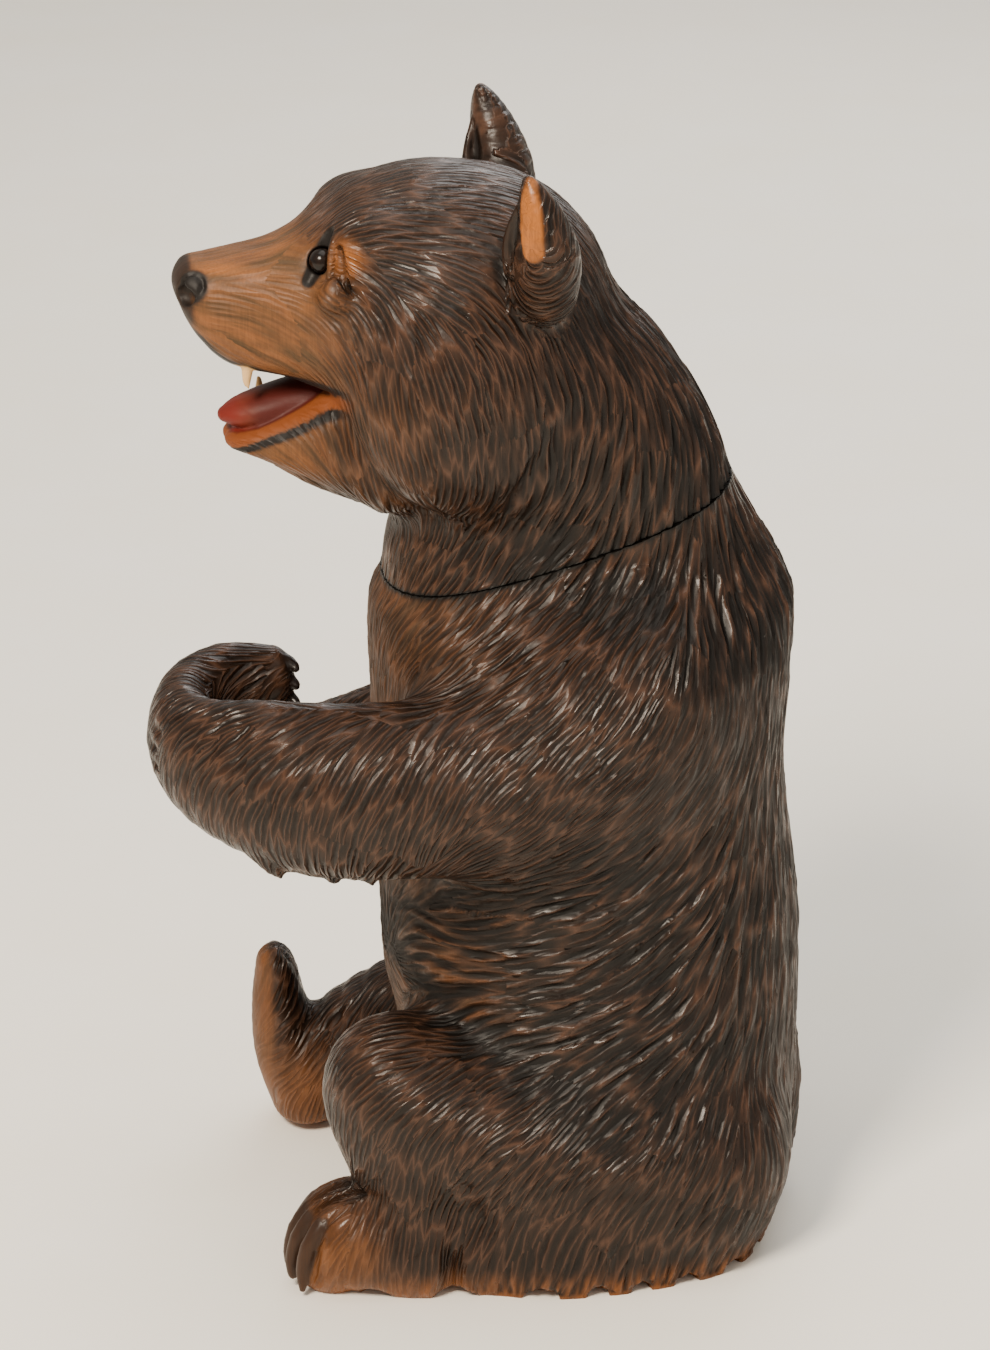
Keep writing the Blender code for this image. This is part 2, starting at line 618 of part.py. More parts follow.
def pairs(points, places, reach):
    """Numbers of every point and place that lie within reach of each other, found through cubes."""
    low = points.min(0) - 1.5 * reach
    cubes = ((points - low) / reach).astype(int)
    size = cubes.max(0) + 3
    keys = (cubes[:, 0] * size[1] + cubes[:, 1]) * size[2] + cubes[:, 2]
    order = np.argsort(keys, kind="stable")
    keys = keys[order]
    at = ((places - low) / reach).astype(int)
    found = []
    for i in (-1, 0, 1):
        for j in (-1, 0, 1):
            column = ((at[:, 0] + i) * size[1] + at[:, 1] + j) * size[2] + at[:, 2]
            first = np.searchsorted(keys, column - 1, "left")
            number = np.searchsorted(keys, column + 1, "right") - first
            place = np.repeat(np.arange(len(places)), number)
            run = np.arange(number.sum()) - np.repeat(np.cumsum(number) - number, number)
            point = order[np.repeat(first, number) + run]
            close = ((points[point] - places[place]) ** 2).sum(1) < reach ** 2
            found.append((point[close], place[close]))
    return np.concatenate([f[0] for f in found]), np.concatenate([f[1] for f in found])


def cut_locks(points, lines, normals, ways, width, depth):
    """Depth cut at each point: the deepest of the hollow gouges that pass it.

    A gouge is round across, with its full width at the surface, and shallow at both of its ends.
    """
    fall = np.zeros(len(points))
    samples = lines.shape[1]
    share = np.sin(math.pi * (np.arange(samples) + 0.6) / (samples + 0.2)) ** 0.6
    share = np.tile(share, len(lines))
    middles, normals, ways = lines.reshape(-1, 3), normals.reshape(-1, 3), ways.reshape(-1, 3)
    point, place = pairs(points, middles, width / 2)
    away = points[point] - middles[place]
    high = (away * normals[place]).sum(1)
    along = (away * ways[place]).sum(1)
    across = (away ** 2).sum(1) - high ** 2 - along ** 2
    sunk = depth * share[place] * (1 - across / (width / 2) ** 2)
    sunk[(np.abs(high) > width / 3) | (np.abs(along) > width / 3)] = 0
    np.maximum.at(fall, point, sunk)
    return fall


def coat_share(points):
    """Share of the coat that is cut at each point: none on nose, lips, paws, claws and ears."""
    x, y, z = points.T
    share = np.where(z > 205, np.clip((y + 82) / 20, 0, 1), 1.0)
    near_paw = (x < 37) & (x > -14) & (y < -62) & (z > 132) & (z < 180)
    far_paw = (x > -35) & (x < 14) & (y < -55) & (z > 92) & (z < 136)
    ears = (z > 282) & (np.abs(x) > 31)
    claws = (y < -68) & (z < 34) & (x > 20)
    sole = (y < -76) & (x < -30) & (z < 62)
    return share * np.where(near_paw | far_paw | ears | claws | sole, 0.0, 1.0)


def carved_net():
    """The whole figure as a net of quads, with the locks of its coat cut in."""
    values = level_grid(bear, LOW, HIGH, NET_CELL, NET_BLOCK)
    points, quads = net(mended(values), LOW, NET_CELL)
    for _ in range(2):
        normals, steep = slope_of(bear, points)
        points = points - normals * np.clip(bear(points) / steep, -1, 1)[:, None]
    normals, steep = slope_of(bear, points)
    ways = lie_of_coat(points, normals)
    coated = coat_share(points) > 0.5
    in_head = points[:, 2] > SEAM_Z + SEAM_RISE * (points[:, 1] - SEAM_Y)
    fall = np.zeros(len(points))
    for seed, (chosen, lock) in enumerate(((coated & ~in_head, BODY_LOCK), (coated & in_head, HEAD_LOCK))):
        width, length, depth = lock
        places = np.flatnonzero(chosen)
        begun = starts(points[places], ways[places], width, length, seed)
        lines, line_normals, line_ways = locks(bear, points[places][begun], length)
        fall = np.maximum(fall, cut_locks(points, lines, line_normals, line_ways, width, depth))
    return points - normals * (fall * coat_share(points))[:, None], quads


def in_metres(points):
    """Figure millimetres to the part's own frame."""
    return (np.asarray(points, float) + SHIFT) * MM


def mesh_from(name, points, faces):
    mesh = bpy.data.meshes.new(name)
    mesh.from_pydata(in_metres(points).tolist(), [], faces.tolist())
    mesh.update()
    return mesh


def sawn(mesh, point, normal, name):
    """Copy of a closed mesh with all beyond a plane taken off and the cut filled flat."""
    form = bmesh.new()
    form.from_mesh(mesh)
    whole = form.verts[:] + form.edges[:] + form.faces[:]
    done = bmesh.ops.bisect_plane(form, geom=whole, dist=1e-7, plane_co=in_metres([point])[0],
                                  plane_no=normal, clear_outer=True)
    rim = [part for part in done["geom_cut"] if isinstance(part, bmesh.types.BMEdge)]
    bmesh.ops.holes_fill(form, edges=rim, sides=0)
    bmesh.ops.triangulate(form, faces=form.faces[:])
    result = bpy.data.meshes.new(name)
    form.to_mesh(result)
    form.free()
    return result


def thinned(mesh, faces):
    """Copy of a mesh with its flatter places joined into larger triangles."""
    holder = bpy.data.objects.new("thinning", mesh)
    bpy.context.scene.collection.objects.link(holder)
    triangles = sum(len(face.vertices) - 2 for face in mesh.polygons)
    modifier = holder.modifiers.new("thin", "DECIMATE")
    modifier.ratio = min(1.0, faces / triangles)
    found = holder.evaluated_get(bpy.context.evaluated_depsgraph_get())
    result = bpy.data.meshes.new_from_object(found)
    bpy.data.objects.remove(holder)
    return result


def add(name, mesh, material):
    thing = bpy.data.objects.new(name, mesh)
    bpy.context.scene.collection.objects.link(thing)
    mesh.materials.clear()
    if material is not None:
        mesh.materials.append(material)
    return thing


def finish(name, colour, roughness, coat=0.0):
    material = bpy.data.materials.new(name)
    material.use_nodes = True
    shader = material.node_tree.nodes["Principled BSDF"]
    shader.inputs["Base Color"].default_value = (*colour, 1)
    shader.inputs["Roughness"].default_value = roughness
    shader.inputs["Metallic"].default_value = 0.0
    shader.inputs["Coat Weight"].default_value = coat
    return material


def cylinder(name, radius, low, high, sides=48):
    form = bmesh.new()
    middle = in_metres([(0, WELL_Y, (low + high) / 2)])[0]
    bmesh.ops.create_cone(form, cap_ends=True, segments=sides, radius1=radius * MM, radius2=radius * MM,
                          depth=(high - low) * MM, matrix=Matrix.Translation(Vector(middle)))
    mesh = bpy.data.meshes.new(name)
    form.to_mesh(mesh)
    form.free()
    return mesh


def balls(name, radius, sides=(-1, 1)):
    """A ball of the given radius at the eye's place, on each of the given sides."""
    form = bmesh.new()
    for side in sides:
        x, y, z = EYE_PLACE
        middle = in_metres([(side * x, y, z)])[0]
        bmesh.ops.create_uvsphere(form, u_segments=12, v_segments=8, radius=radius * MM,
                                  matrix=Matrix.Translation(Vector(middle)))
    mesh = bpy.data.meshes.new(name)
    form.to_mesh(mesh)
    form.free()
    return mesh


def teeth(name):
    """Four canines: the upper pair points down from the lip, the lower pair stands on the gum."""
    form = bmesh.new()
    for side in (-1, 1):
        for root, tip in TEETH:
            low = Vector(in_metres([(side * root[0], root[1], root[2])])[0])
            high = Vector(in_metres([(side * tip[0], tip[1], tip[2])])[0])
            spin = (high - low).to_track_quat("Z", "Y").to_matrix().to_4x4()
            bmesh.ops.create_cone(form, cap_ends=True, segments=8, radius1=TOOTH_ROOT * MM,
                                  radius2=TOOTH_TIP * MM, depth=(high - low).length,
                                  matrix=Matrix.Translation((low + high) / 2) @ spin)
    mesh = bpy.data.meshes.new(name)
    form.to_mesh(mesh)
    form.free()
    return mesh


def fit(thing, how, mesh):
    """Boolean on a thing, with a cutter that is built but never shown."""
    cutter = add(mesh.name, mesh, None)
    cutter.hide_render = True
    cutter.display_type = "WIRE"
    modifier = thing.modifiers.new(mesh.name, "BOOLEAN")
    modifier.operation = how
    modifier.object = cutter


def main():
    for thing in list(bpy.data.objects):
        bpy.data.objects.remove(thing)
    stained = finish("stained_wood", (0.060, 0.032, 0.020), 0.42, 0.3)
    stained_head = finish("stained_wood_head", (0.085, 0.042, 0.022), 0.42, 0.3)
    glass = finish("dark_glass", (0.010, 0.007, 0.006), 0.08)
    figure = mesh_from("figure", *carved_net())
    down = (0, 0, -1)
    seam = Vector((0, -SEAM_RISE, 1)).normalized()
    at_seam = (0, SEAM_Y, SEAM_Z)
    above_seam = (0, SEAM_Y, SEAM_Z + SEAM_GAP / seam.z)

    rough = thinned(sawn(figure, (0, SEAM_Y, SEAM_Z + SEAM_SPARE), seam, "rough_body"), BODY_FACES)
    body_mesh = sawn(sawn(rough, (0, 0, 0), down, "level_body"), at_seam, seam, "body")
    body = add("body", body_mesh, stained)
    fit(body, "DIFFERENCE", cylinder("well_cutter", WELL_RADIUS, WELL_FLOOR, SEAM_Z + 60))

    rough = thinned(sawn(figure, (0, SEAM_Y, SEAM_Z - SEAM_SPARE), -seam, "rough_head"), HEAD_FACES)
    head_mesh = sawn(rough, above_seam, -seam, "head_lid")
    lid = add("head_lid", head_mesh, stained_head)
    rim_front = SEAM_Z + SEAM_RISE * (WELL_Y - SPIGOT_RADIUS - SEAM_Y)
    fit(lid, "UNION", cylinder("spigot_piece", SPIGOT_RADIUS, rim_front - SPIGOT_DEPTH, rim_front + 40))
    fit(lid, "UNION", teeth("teeth_piece"))
    fit(lid, "DIFFERENCE", balls("eye_socket_cutter", EYE_RADIUS + EYE_GAP))

    for name, side in (("eye_left", 1), ("eye_right", -1)):
        ball = balls(name, EYE_RADIUS, (side,))
        ball.shade_smooth()
        add(name, ball, glass)


if __name__ == "__main__":
    main()
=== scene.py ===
"""Carved wooden bear jar: the fine carving, the stain and varnish, the glass eyes and the studio.

The solids from the frame give the jar its pieces, its seam and its sizes. Here each wooden piece
gets its real surface. A level function, negative inside the wood and positive outside, describes
the form in millimetres; a net of quads is laid round its zero level, and thousands of gouge cuts
that follow the lie of the coat are cut into the net. Then it is sawn at the neck and bored.

The figure's own millimetres turn to the frame's metres with one move and one scale.
"""

import math
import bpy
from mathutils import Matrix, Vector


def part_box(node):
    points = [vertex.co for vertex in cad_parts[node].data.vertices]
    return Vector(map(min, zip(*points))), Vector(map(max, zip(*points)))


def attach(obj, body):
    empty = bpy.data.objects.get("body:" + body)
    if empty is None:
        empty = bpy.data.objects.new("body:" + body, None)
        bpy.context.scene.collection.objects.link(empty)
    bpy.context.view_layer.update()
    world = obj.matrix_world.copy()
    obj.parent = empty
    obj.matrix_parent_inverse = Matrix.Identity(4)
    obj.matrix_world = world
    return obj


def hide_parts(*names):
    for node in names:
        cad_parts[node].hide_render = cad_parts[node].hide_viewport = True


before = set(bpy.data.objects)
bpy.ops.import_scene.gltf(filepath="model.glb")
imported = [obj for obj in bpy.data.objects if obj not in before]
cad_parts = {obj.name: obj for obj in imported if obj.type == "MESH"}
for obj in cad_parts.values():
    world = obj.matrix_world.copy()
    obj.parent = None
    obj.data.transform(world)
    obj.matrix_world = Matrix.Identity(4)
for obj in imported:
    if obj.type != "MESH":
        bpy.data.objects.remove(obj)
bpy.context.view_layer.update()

from concurrent.futures import ThreadPoolExecutor

import bmesh
import bpy
import numpy as np
from mathutils import Matrix, Vector

bl_info = {
    "name": "Carved Bear Jar",
    "version": (1, 0, 0),
    "blender": (4, 5, 0),
    "location": "View3D > Sidebar > Bear Jar",
    "description": "Carves the fur of a wooden bear jar, finishes it and lights it",
    "category": "Object",
}

MM = 0.001

# Where the eyes are in the figure's own millimetres; the frame says where they are in metres.
EYE_PLACE = (16.9, -65.0, 278.8)
EYE_RADIUS = 3.3
EYE_LOW, EYE_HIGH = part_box("eye_left")
SHIFT = np.array((EYE_LOW + EYE_HIGH) / 2) / MM - EYE_PLACE

# The saw cut at the neck: the point where it meets the throat, its rise to the back and its gap.
SEAM_Y = -47.5
SEAM_Z = 187.3
SEAM_RISE = 0.291
SEAM_GAP = 0.3

# The bored well and the lid's spigot.
WELL_RADIUS = 24.0
WELL_FLOOR = 84.0
SPIGOT_RADIUS = 23.2
SPIGOT_DEPTH = 7.0
BORE_SIDES = 96

# The canine teeth: root and tip of both upper ones and of the lower one on the bear's right.
TEETH = [((8.8, -83.6, 250.5), (8.3, -84.2, 242.4)), ((-8.8, -83.6, 250.5), (-8.3, -84.2, 242.4)),
         ((-8.8, -79.3, 232.5), (-8.3, -79.3, 240.0))]
TOOTH_ROOT = 1.9
TOOTH_TIP = 0.7
SOCKET_GAP = 0.3

# The tongue: places along its middle, with its radius there, and how its section is stretched.
TONGUE = [(0, -60, 240.0, 7.2), (0, -72, 237.0, 7.2), (0, -82, 234.2, 6.4), (0, -88.0, 233.4, 3.2)]
TONGUE_STRETCH = (1.2, 1, 0.7)

# The tongue as the paint on it reaches, a little lower than its wood.
TONGUE_PAINT = [(0, -60, 239.2, 6.9), (0, -72, 236.2, 6.9), (0, -82, 233.6, 6.0), (0, -88.2, 233.0, 3.2)]

# Places on the face: its fine cuts, and the spots that the colours are laid by.
NOSE_Y = -95.5
NOSE_RIM_Z = 275.3
BROW_EDGE = (22.5, -58.5, 281.0)
MOUTH_CORNER = (17.0, -61.5, 243.0)
EAR_PATCH = [(45.4, -15.6, 305.5, 1.0), (48.6, -16.4, 298.5, 2.7), (50.2, -16.4, 289.5, 2.9)]
EAR_RIM = [(43.4, -16.8, 301.0, 0.8), (41.4, -18.2, 298.0, 0.9), (39.8, -19.6, 294.0, 1.0),
           (38.8, -20.4, 290.0, 1.2), (38.0, -20.2, 286.0, 1.8), (37.4, -18.8, 281.0, 2.8)]
EAR_WEB = [(42.4, -16.6, 300.0, 0.9), (40.8, -17.2, 295.0, 1.7), (39.4, -17.2, 289.0, 2.2)]
EAR_LOW = 268.0
EAR_INNER = 33.0
NOSTRIL = (10.2, -97.8, 271.4)
NOSTRIL_RING = 3.1
EYE_HOLLOW = [(17.2, -63.6, 286.4, 1.6), (18.6, -65.8, 281.2, 2.7), (19.2, -69.0, 274.6, 1.5)]
EYE_FOLD = [(19.3, -62.6, 285.4, 0.6), (21.2, -62.9, 281.5, 1.2), (22.4, -63.6, 276.2, 0.9)]
EYE_FURROW = [(22.6, -61.0, 283.5, 0.7), (24.6, -60.9, 279.0, 1.2), (25.8, -60.2, 275.0, 1.0),
              (27.2, -58.4, 272.6, 0.5)]

# How far in front of the middle the smooth sole of the upright foot lies.
SOLE = 77.0

# The stain's half width at the seam, and how far out a point looks for wood that closes it in: such hollows
# and creases get painted shade.
SEAM_STAIN = 1.1
HOLLOW_SHADE_REACH = 9.0
CREASE_SHADE_REACH = 3.0

# Slow waves in the lie of the coat, in radians.
COAT_WAVE = 0.16

# Gouge cuts noted at places seen from the side: Y, Z, then width, length and depth.
LOCK_NOTES = [
    (-95, 262, 0.9, 3.0, 0.05), (-78, 264, 1.0, 4.0, 0.12), (-80, 222, 1.3, 6.0, 0.30),
    (-52, 296, 1.2, 6.0, 0.26), (-30, 300, 1.3, 7.0, 0.36), (-45, 262, 1.6, 7.0, 0.50),
    (-20, 285, 1.5, 7.0, 0.42), (-45, 225, 2.0, 11.0, 0.70), (-15, 240, 2.4, 15.0, 0.95),
    (15, 262, 2.4, 20.0, 0.90), (15, 225, 3.0, 28.0, 1.20), (40, 205, 2.9, 26.0, 1.10),
    (0, 175, 2.1, 10.0, 0.75), (-30, 155, 2.0, 9.0, 0.70), (30, 160, 2.3, 14.0, 0.80),
    (55, 150, 2.4, 20.0, 0.80), (60, 100, 2.4, 20.0, 0.80), (58, 50, 2.3, 18.0, 0.80),
    (25, 105, 3.3, 22.0, 1.25), (-20, 100, 3.5, 22.0, 1.30), (10, 75, 3.4, 20.0, 1.30),
    (-30, 125, 2.2, 12.0, 0.75), (-75, 145, 1.9, 9.0, 0.60), (-100, 150, 1.6, 8.0, 0.45),
    (-50, 60, 1.9, 7.0, 0.60), (-20, 50, 2.1, 10.0, 0.75), (20, 40, 2.2, 11.0, 0.80),
    (0, 12, 2.5, 16.0, 1.00), (40, 15, 2.5, 16.0, 1.00), (-60, 25, 1.6, 8.0, 0.45),
    (-75, 10, 1.4, 6.0, 0.30),
]
NOTE_SPREAD = 13.0

# Kinds of lock by length: the shortest, the longest, and the steps that its line takes.
LOCK_KINDS = [(17, 99, 20), (9, 17, 14), (0, 9, 10)]

# How near each other locks may lie, in widths across the hair and in lengths along it.
SPACE_ACROSS = 0.54
SPACE_ALONG = 0.40
TRIES = 5.0

# A lock's ends, its turn and bend in radians, and the least depth at which a cut is fully dark.
LOCK_ENDS = 0.6
LOCK_TURN = 0.09
LOCK_BEND = 0.16
STAIN_DEPTH = 0.45

# Locks narrower than these are cut shallower: the material carries the finest strokes.
FINE_LOCK = 1.8
BROAD_LOCK = 2.8

# The nets of the two wooden pieces: the boxes that they lie in and the grids' cells.
BODY_LOW = np.array([-80.0, -122.0, -8.0])
BODY_HIGH = np.array([76.0, 76.0, 226.0])
BODY_CELL = 1.7
HEAD_LOW = np.array([-60.0, -112.0, 178.0])
HEAD_HIGH = np.array([60.0, 76.0, 314.0])
HEAD_CELL = 1.35
BAND = 1.9
MEND_ROUNDS = 8
MEND_SKIN = 0.1
REPAIRS = 6

# How many points, places and triangles are worked out at a time.
POINT_SHARE = 16000
PLACE_SHARE = 40000
TRIANGLE_SHARE = 8000

# The corners of a cell.
CORNERS = [(i, j, k) for i in (0, 1) for j in (0, 1) for k in (0, 1)]

# The camera: the point it looks at in figure millimetres, its bearing, its height and its lens.
CAMERA_AIM = (-55.92, -10.5, 133.48)
CAMERA_AROUND = 82.0
CAMERA_UP = 22.0
LENS_PIXELS = 4821.43
PHOTO_HEIGHT = 1350
SENSOR = 36.0

# The studio: floor, air, and each softbox with its place, target, sides, watts and colour.
FLOOR_SIDE = 8.0
AIR_COLOUR = "#fbf4e8"
AIR_LIGHT = 0.60
LIGHTS = [
    ("key", (0.90, -0.72, 1.30), (0.0, 0.0, 0.19), 0.45, 0.45, 42, "#fff0dc"),
    ("fill", (1.3, 0.9, 0.7), (0.0, 0.0, 0.15), 1.2, 1.2, 3, "#fdf6ee"),
    ("top", (-0.1, 0.1, 1.4), (0.0, 0.0, 0.1), 1.0, 1.0, 8, "#fffaf2"),
    ("back", (-1.1, 0.5, 0.9), (0.0, 0.0, 0.15), 0.9, 0.9, 8, "#ffffff"),
]

# Boxes outside which a part of the form can't matter, by their low and high corners.
ARMS = ((-80, -125, 70), (80, 60, 205))
PAWS = ((-70, -130, 80), (70, -40, 195))
LEGS = ((-90, -110, -20), (90, 75, 100))
FEET = ((-80, -105, -20), (75, -40, 75))
TAIL = ((-25, 40, -20), (25, 90, 80))
HEAD = ((-75, -125, 165), (75, 50, 330))
FACE = ((-60, -125, 215), (60, 10, 330))

# The patches that the coat's own coordinates are laid out in.
PATCH_SEED = 11
PATCH_TRIES = 6000
PATCH_WIDTH = 24.0
PATCH_LENGTH = 55.0
PATCH_FACING = 0.3
PATCH_PENALTY = 4.0
PATCH_START = 1000.0

# Profiles of the trunk: rows of height and size.
TRUNK_BACK = [(-8, 59), (10, 60.5), (45, 64.5), (85, 64.8), (115, 61.4), (139, 59.4), (160, 60.6),
              (178, 61.6), (190, 57.5), (202, 50.5), (214, 44.0), (224, 40.8), (240, 33), (256, 21.5),
              (270, 8.5), (280, -2)]
TRUNK_FRONT = [(-8, -40), (20, -42), (56, -45), (74, -48.7), (95, -50.2), (120, -51), (150, -51.5),
               (170, -52.2), (179, -51.8), (187, -48.6), (196, -47.6), (205, -45), (220, -38), (240, -30)]
TRUNK_HALF_WIDTH = [(-8, 61.5), (10, 61.5), (40, 60), (70, 56.5), (95, 53), (125, 52), (150, 54), (166, 54),
                    (178, 49.5), (188, 42), (196, 37.5), (206, 36.5), (225, 38), (245, 36), (262, 28)]
TRUNK_MIDDLE = [(-8, -4), (60, 0), (150, 4), (190, -2), (214, -2), (245, -6)]
TRUNK_ROUNDNESS = 2.25
TRUNK_TOP = 268.0

# Profiles of the muzzle and of the lower jaw along Y, from the tip backwards.
MUZZLE_TOP = [(-102, 271.5), (-99, 275.0), (-94, 276.4), (-87, 277.7), (-78, 279.4), (-71, 282.2),
              (-64, 286.2), (-56, 290)]
MUZZLE_LOW = [(-102, 266), (-99, 260.8), (-96, 256), (-92, 251.4), (-88, 248.6), (-80, 246.0),
              (-66, 243.6), (-55, 243)]
MUZZLE_HALF_WIDTH = [(-102, 8.5), (-99, 11), (-95, 13), (-88, 15), (-80, 17), (-70, 20.5), (-60, 24),
                     (-50, 27)]
JAW_TOP = [(-90, 229.0), (-86, 230.4), (-78, 234.5), (-70, 239.0), (-62, 243), (-50, 246)]
JAW_LOW = [(-90, 226.0), (-86, 224.6), (-78, 221.2), (-70, 217.6), (-60, 212.6), (-50, 207)]
JAW_HALF_WIDTH = [(-90, 6), (-87, 9), (-80, 12.5), (-70, 17), (-60, 22), (-50, 27)]
LIP_LINE = [(-110, 261), (-96, 255.8), (-92, 251.2), (-88, 248.5), (-80, 246.0), (-72, 244.4),
            (-64, 243.6), (-60, 243.3)]
GUM_LINE = [(-110, 227.4), (-90, 229.4), (-80, 233.4), (-72, 237.2), (-64, 241.6), (-60, 243.0)]

# The locks below the forearms: their places along Y, how far they hang, and how many the far one has.
FRINGE = [(-58.5, 9.2), (-63.5, 7.0), (-68.0, 9.0), (-73.0, 6.6), (-78.0, 5.0), (-82.5, 7.4)]
FAR_FRINGE = 5

# Fingers and toes: how far apart they are, and the places of the grooves between them.
FINGER_PITCH = 5.0
FINGER_STEPS = [FINGER_PITCH * k for k in (-2, -1, 0, 1, 2)]
TOE_PITCH = 5.6
TOE_STEPS = [TOE_PITCH * k for k in (-2, -1, 0, 1, 2)]

# The hem of the coat, cut into notches where it meets the ground.
HEM_LOCKS = 26
HEM_NOTCH = 3.0
HEM_DEPTH = 5.0

# The form runs on a little below the ground and is sawn off flat there.
FOOT = -4.0

# How the coat lies, seen from the side: the slope of its locks in degrees from straight down,
# turned towards the front, for rows of places along Y (front to back) at each height.
COAT_PLACES = [-100, -75, -50, -25, 0, 25, 50, 70]
COAT_SLOPES = [
    (0, (20, 10, 0, 4, 8, 12, 8, 4)),
    (25, (70, 60, 8, 24, 32, 28, 10, 4)),
    (50, (0, 10, 20, 46, 54, 40, 14, 4)),
    (75, (0, 60, 86, 82, 68, 46, 14, 4)),
    (100, (0, 0, 80, 84, 74, 48, 14, 2)),
    (125, (0, -6, 8, 64, 60, 42, 10, 2)),
    (150, (30, 14, 28, 42, 48, 36, 6, 0)),
    (175, (100, 92, 62, 46, 40, 22, 4, 0)),
    (200, (0, 0, 20, 42, 36, 16, -4, -8)),
    (220, (-60, -50, -5, 10, 20, 10, 0, -5)),
    (240, (-70, -60, -5, -12, 0, -8, -15, -15)),
    (260, (-75, -60, -25, -22, -12, -18, -20, -20)),
    (280, (-100, -100, -70, -50, -28, -20, -15, -10)),
    (300, (-110, -110, -100, -88, -70, -45, -35, -30)),
]

# Levels further out than this do not matter, and neither do limbs further away than REACH.
FAR = 40.0
REACH = 13.0


def curve(values, keys):
    """Smooth curve through rows of place and size that never overshoots them, flat past its ends."""
    places, sizes = np.asarray(keys, float).T
    steps = np.diff(places)
    rises = np.diff(sizes) / steps
    slopes = np.zeros(len(places))
    same = rises[:-1] * rises[1:] > 0
    slopes[1:-1] = np.where(same, 2 * rises[:-1] * rises[1:] / np.where(same, rises[:-1] + rises[1:], 1), 0)
    slopes[0], slopes[-1] = rises[0], rises[-1]
    values = np.clip(values, places[0], places[-1])
    i = np.clip(np.searchsorted(places, values, side="right") - 1, 0, len(places) - 2)
    t = (values - places[i]) / steps[i]
    start = (2 * t ** 3 - 3 * t ** 2 + 1) * sizes[i] + (t ** 3 - 2 * t ** 2 + t) * steps[i] * slopes[i]
    end = (3 * t ** 2 - 2 * t ** 3) * sizes[i + 1] + (t ** 3 - t ** 2) * steps[i] * slopes[i + 1]
    return start + end


def join(a, b, blend):
    """Union of two levels with a fillet of about the width blend."""
    share = np.clip(0.5 + 0.5 * (b - a) / blend, 0, 1)
    return b + (a - b) * share - blend * share * (1 - share)


def cut(a, b, blend):
    """The level a with the level b taken out of it and the edge rounded by blend."""
    return -join(-a, b, blend)


def turn(x=0.0, y=0.0, z=0.0):
    """Rotation matrix for turns in degrees about X, then Y, then Z."""
    spin = Matrix.Rotation(math.radians(z), 3, "Z") @ Matrix.Rotation(math.radians(y), 3, "Y")
    return np.array(spin @ Matrix.Rotation(math.radians(x), 3, "X"))


def mirrored(points):
    """The points with both sides of the bear folded onto its left."""
    folded = points.copy()
    folded[:, 0] = np.abs(folded[:, 0])
    return folded


def ellipsoid(points, centre, radii, axes=None):
    """Level of an ellipsoid: the scaled radius less one, brought back to millimetres."""
    away = points - np.asarray(centre, float)
    if axes is not None:
        away = away @ axes
    radii = np.asarray(radii, float)
    scaled = np.sqrt(((away / radii) ** 2).sum(1)) + 1e-9
    slope = np.sqrt(((away / radii ** 2) ** 2).sum(1)) + 1e-9
    return scaled * (scaled - 1) / slope


def limb(points, keys, stretch=(1, 1, 1), count=12):
    """Level of a limb: a round section whose radius changes along a smooth line through the keys.

    A key is x, y, z and radius. The stretch makes the section oval: it scales each axis.
    """
    stretch = np.asarray(stretch, float)
    keys = np.asarray(keys, float)
    level = np.full(len(points), FAR)
    low = (keys[:, :3] - keys[:, 3:] * stretch).min(0) - REACH
    high = (keys[:, :3] + keys[:, 3:] * stretch).max(0) + REACH
    close = ((points > low) & (points < high)).all(1)
    if not close.any():
        return level
    ends = np.vstack([2 * keys[0] - keys[1], keys, 2 * keys[-1] - keys[-2]])
    place = np.linspace(0, len(keys) - 1 - 1e-9, count)
    i = place.astype(int)
    t = (place - i)[:, None]
    a, b, c, d = ends[i], ends[i + 1], ends[i + 2], ends[i + 3]
    bend, swing = 2 * a - 5 * b + 4 * c - d, 3 * b - a - 3 * c + d
    line = 0.5 * (2 * b + (c - a) * t + bend * t ** 2 + swing * t ** 3)
    middles, radii = line[:, :3] / stretch, line[:, 3]
    near = points[close] / stretch
    best = np.full(len(near), FAR)
    for k in range(count - 1):
        along = middles[k + 1] - middles[k]
        away = near - middles[k]
        share = np.clip(away @ along / (along @ along), 0, 1)
        reach = np.sqrt(((away - share[:, None] * along) ** 2).sum(1))
        best = np.minimum(best, reach - radii[k] - (radii[k + 1] - radii[k]) * share)
    level[close] = best * stretch.min()
    return level


def oval(across, over, half_width, half_height, roundness):
    """Level of an oval section, given the two distances from its middle."""
    reach = np.sqrt(across ** 2 + over ** 2) + 1e-9
    wide, high = np.abs(across / half_width), np.abs(over / half_height)
    scaled = (wide ** roundness + high ** roundness) ** (1 / roundness)
    return (reach - reach / np.maximum(scaled, 1e-6)) * 0.92


def trunk(points):
    """Upright ovals from the base to the nape."""
    x, y, z = points.T
    middle = curve(z, TRUNK_MIDDLE)
    deep = np.where(y > middle, curve(z, TRUNK_BACK) - middle, middle - curve(z, TRUNK_FRONT))
    level = oval(x, y - middle, curve(z, TRUNK_HALF_WIDTH), deep, TRUNK_ROUNDNESS)
    return -join(-level, TRUNK_TOP - z, 16)


def lofted(points, top, low, half_width, roundness, front, rear, blend):
    """Ovals across the bear from front to rear along Y, with the front end rounded by blend."""
    x, y, z = points.T
    high, deep = curve(y, top), curve(y, low)
    level = oval(x, z - (high + deep) / 2, curve(y, half_width), (high - deep) / 2, roundness)
    return -join(-level, -np.maximum(front - y, y - rear), blend)


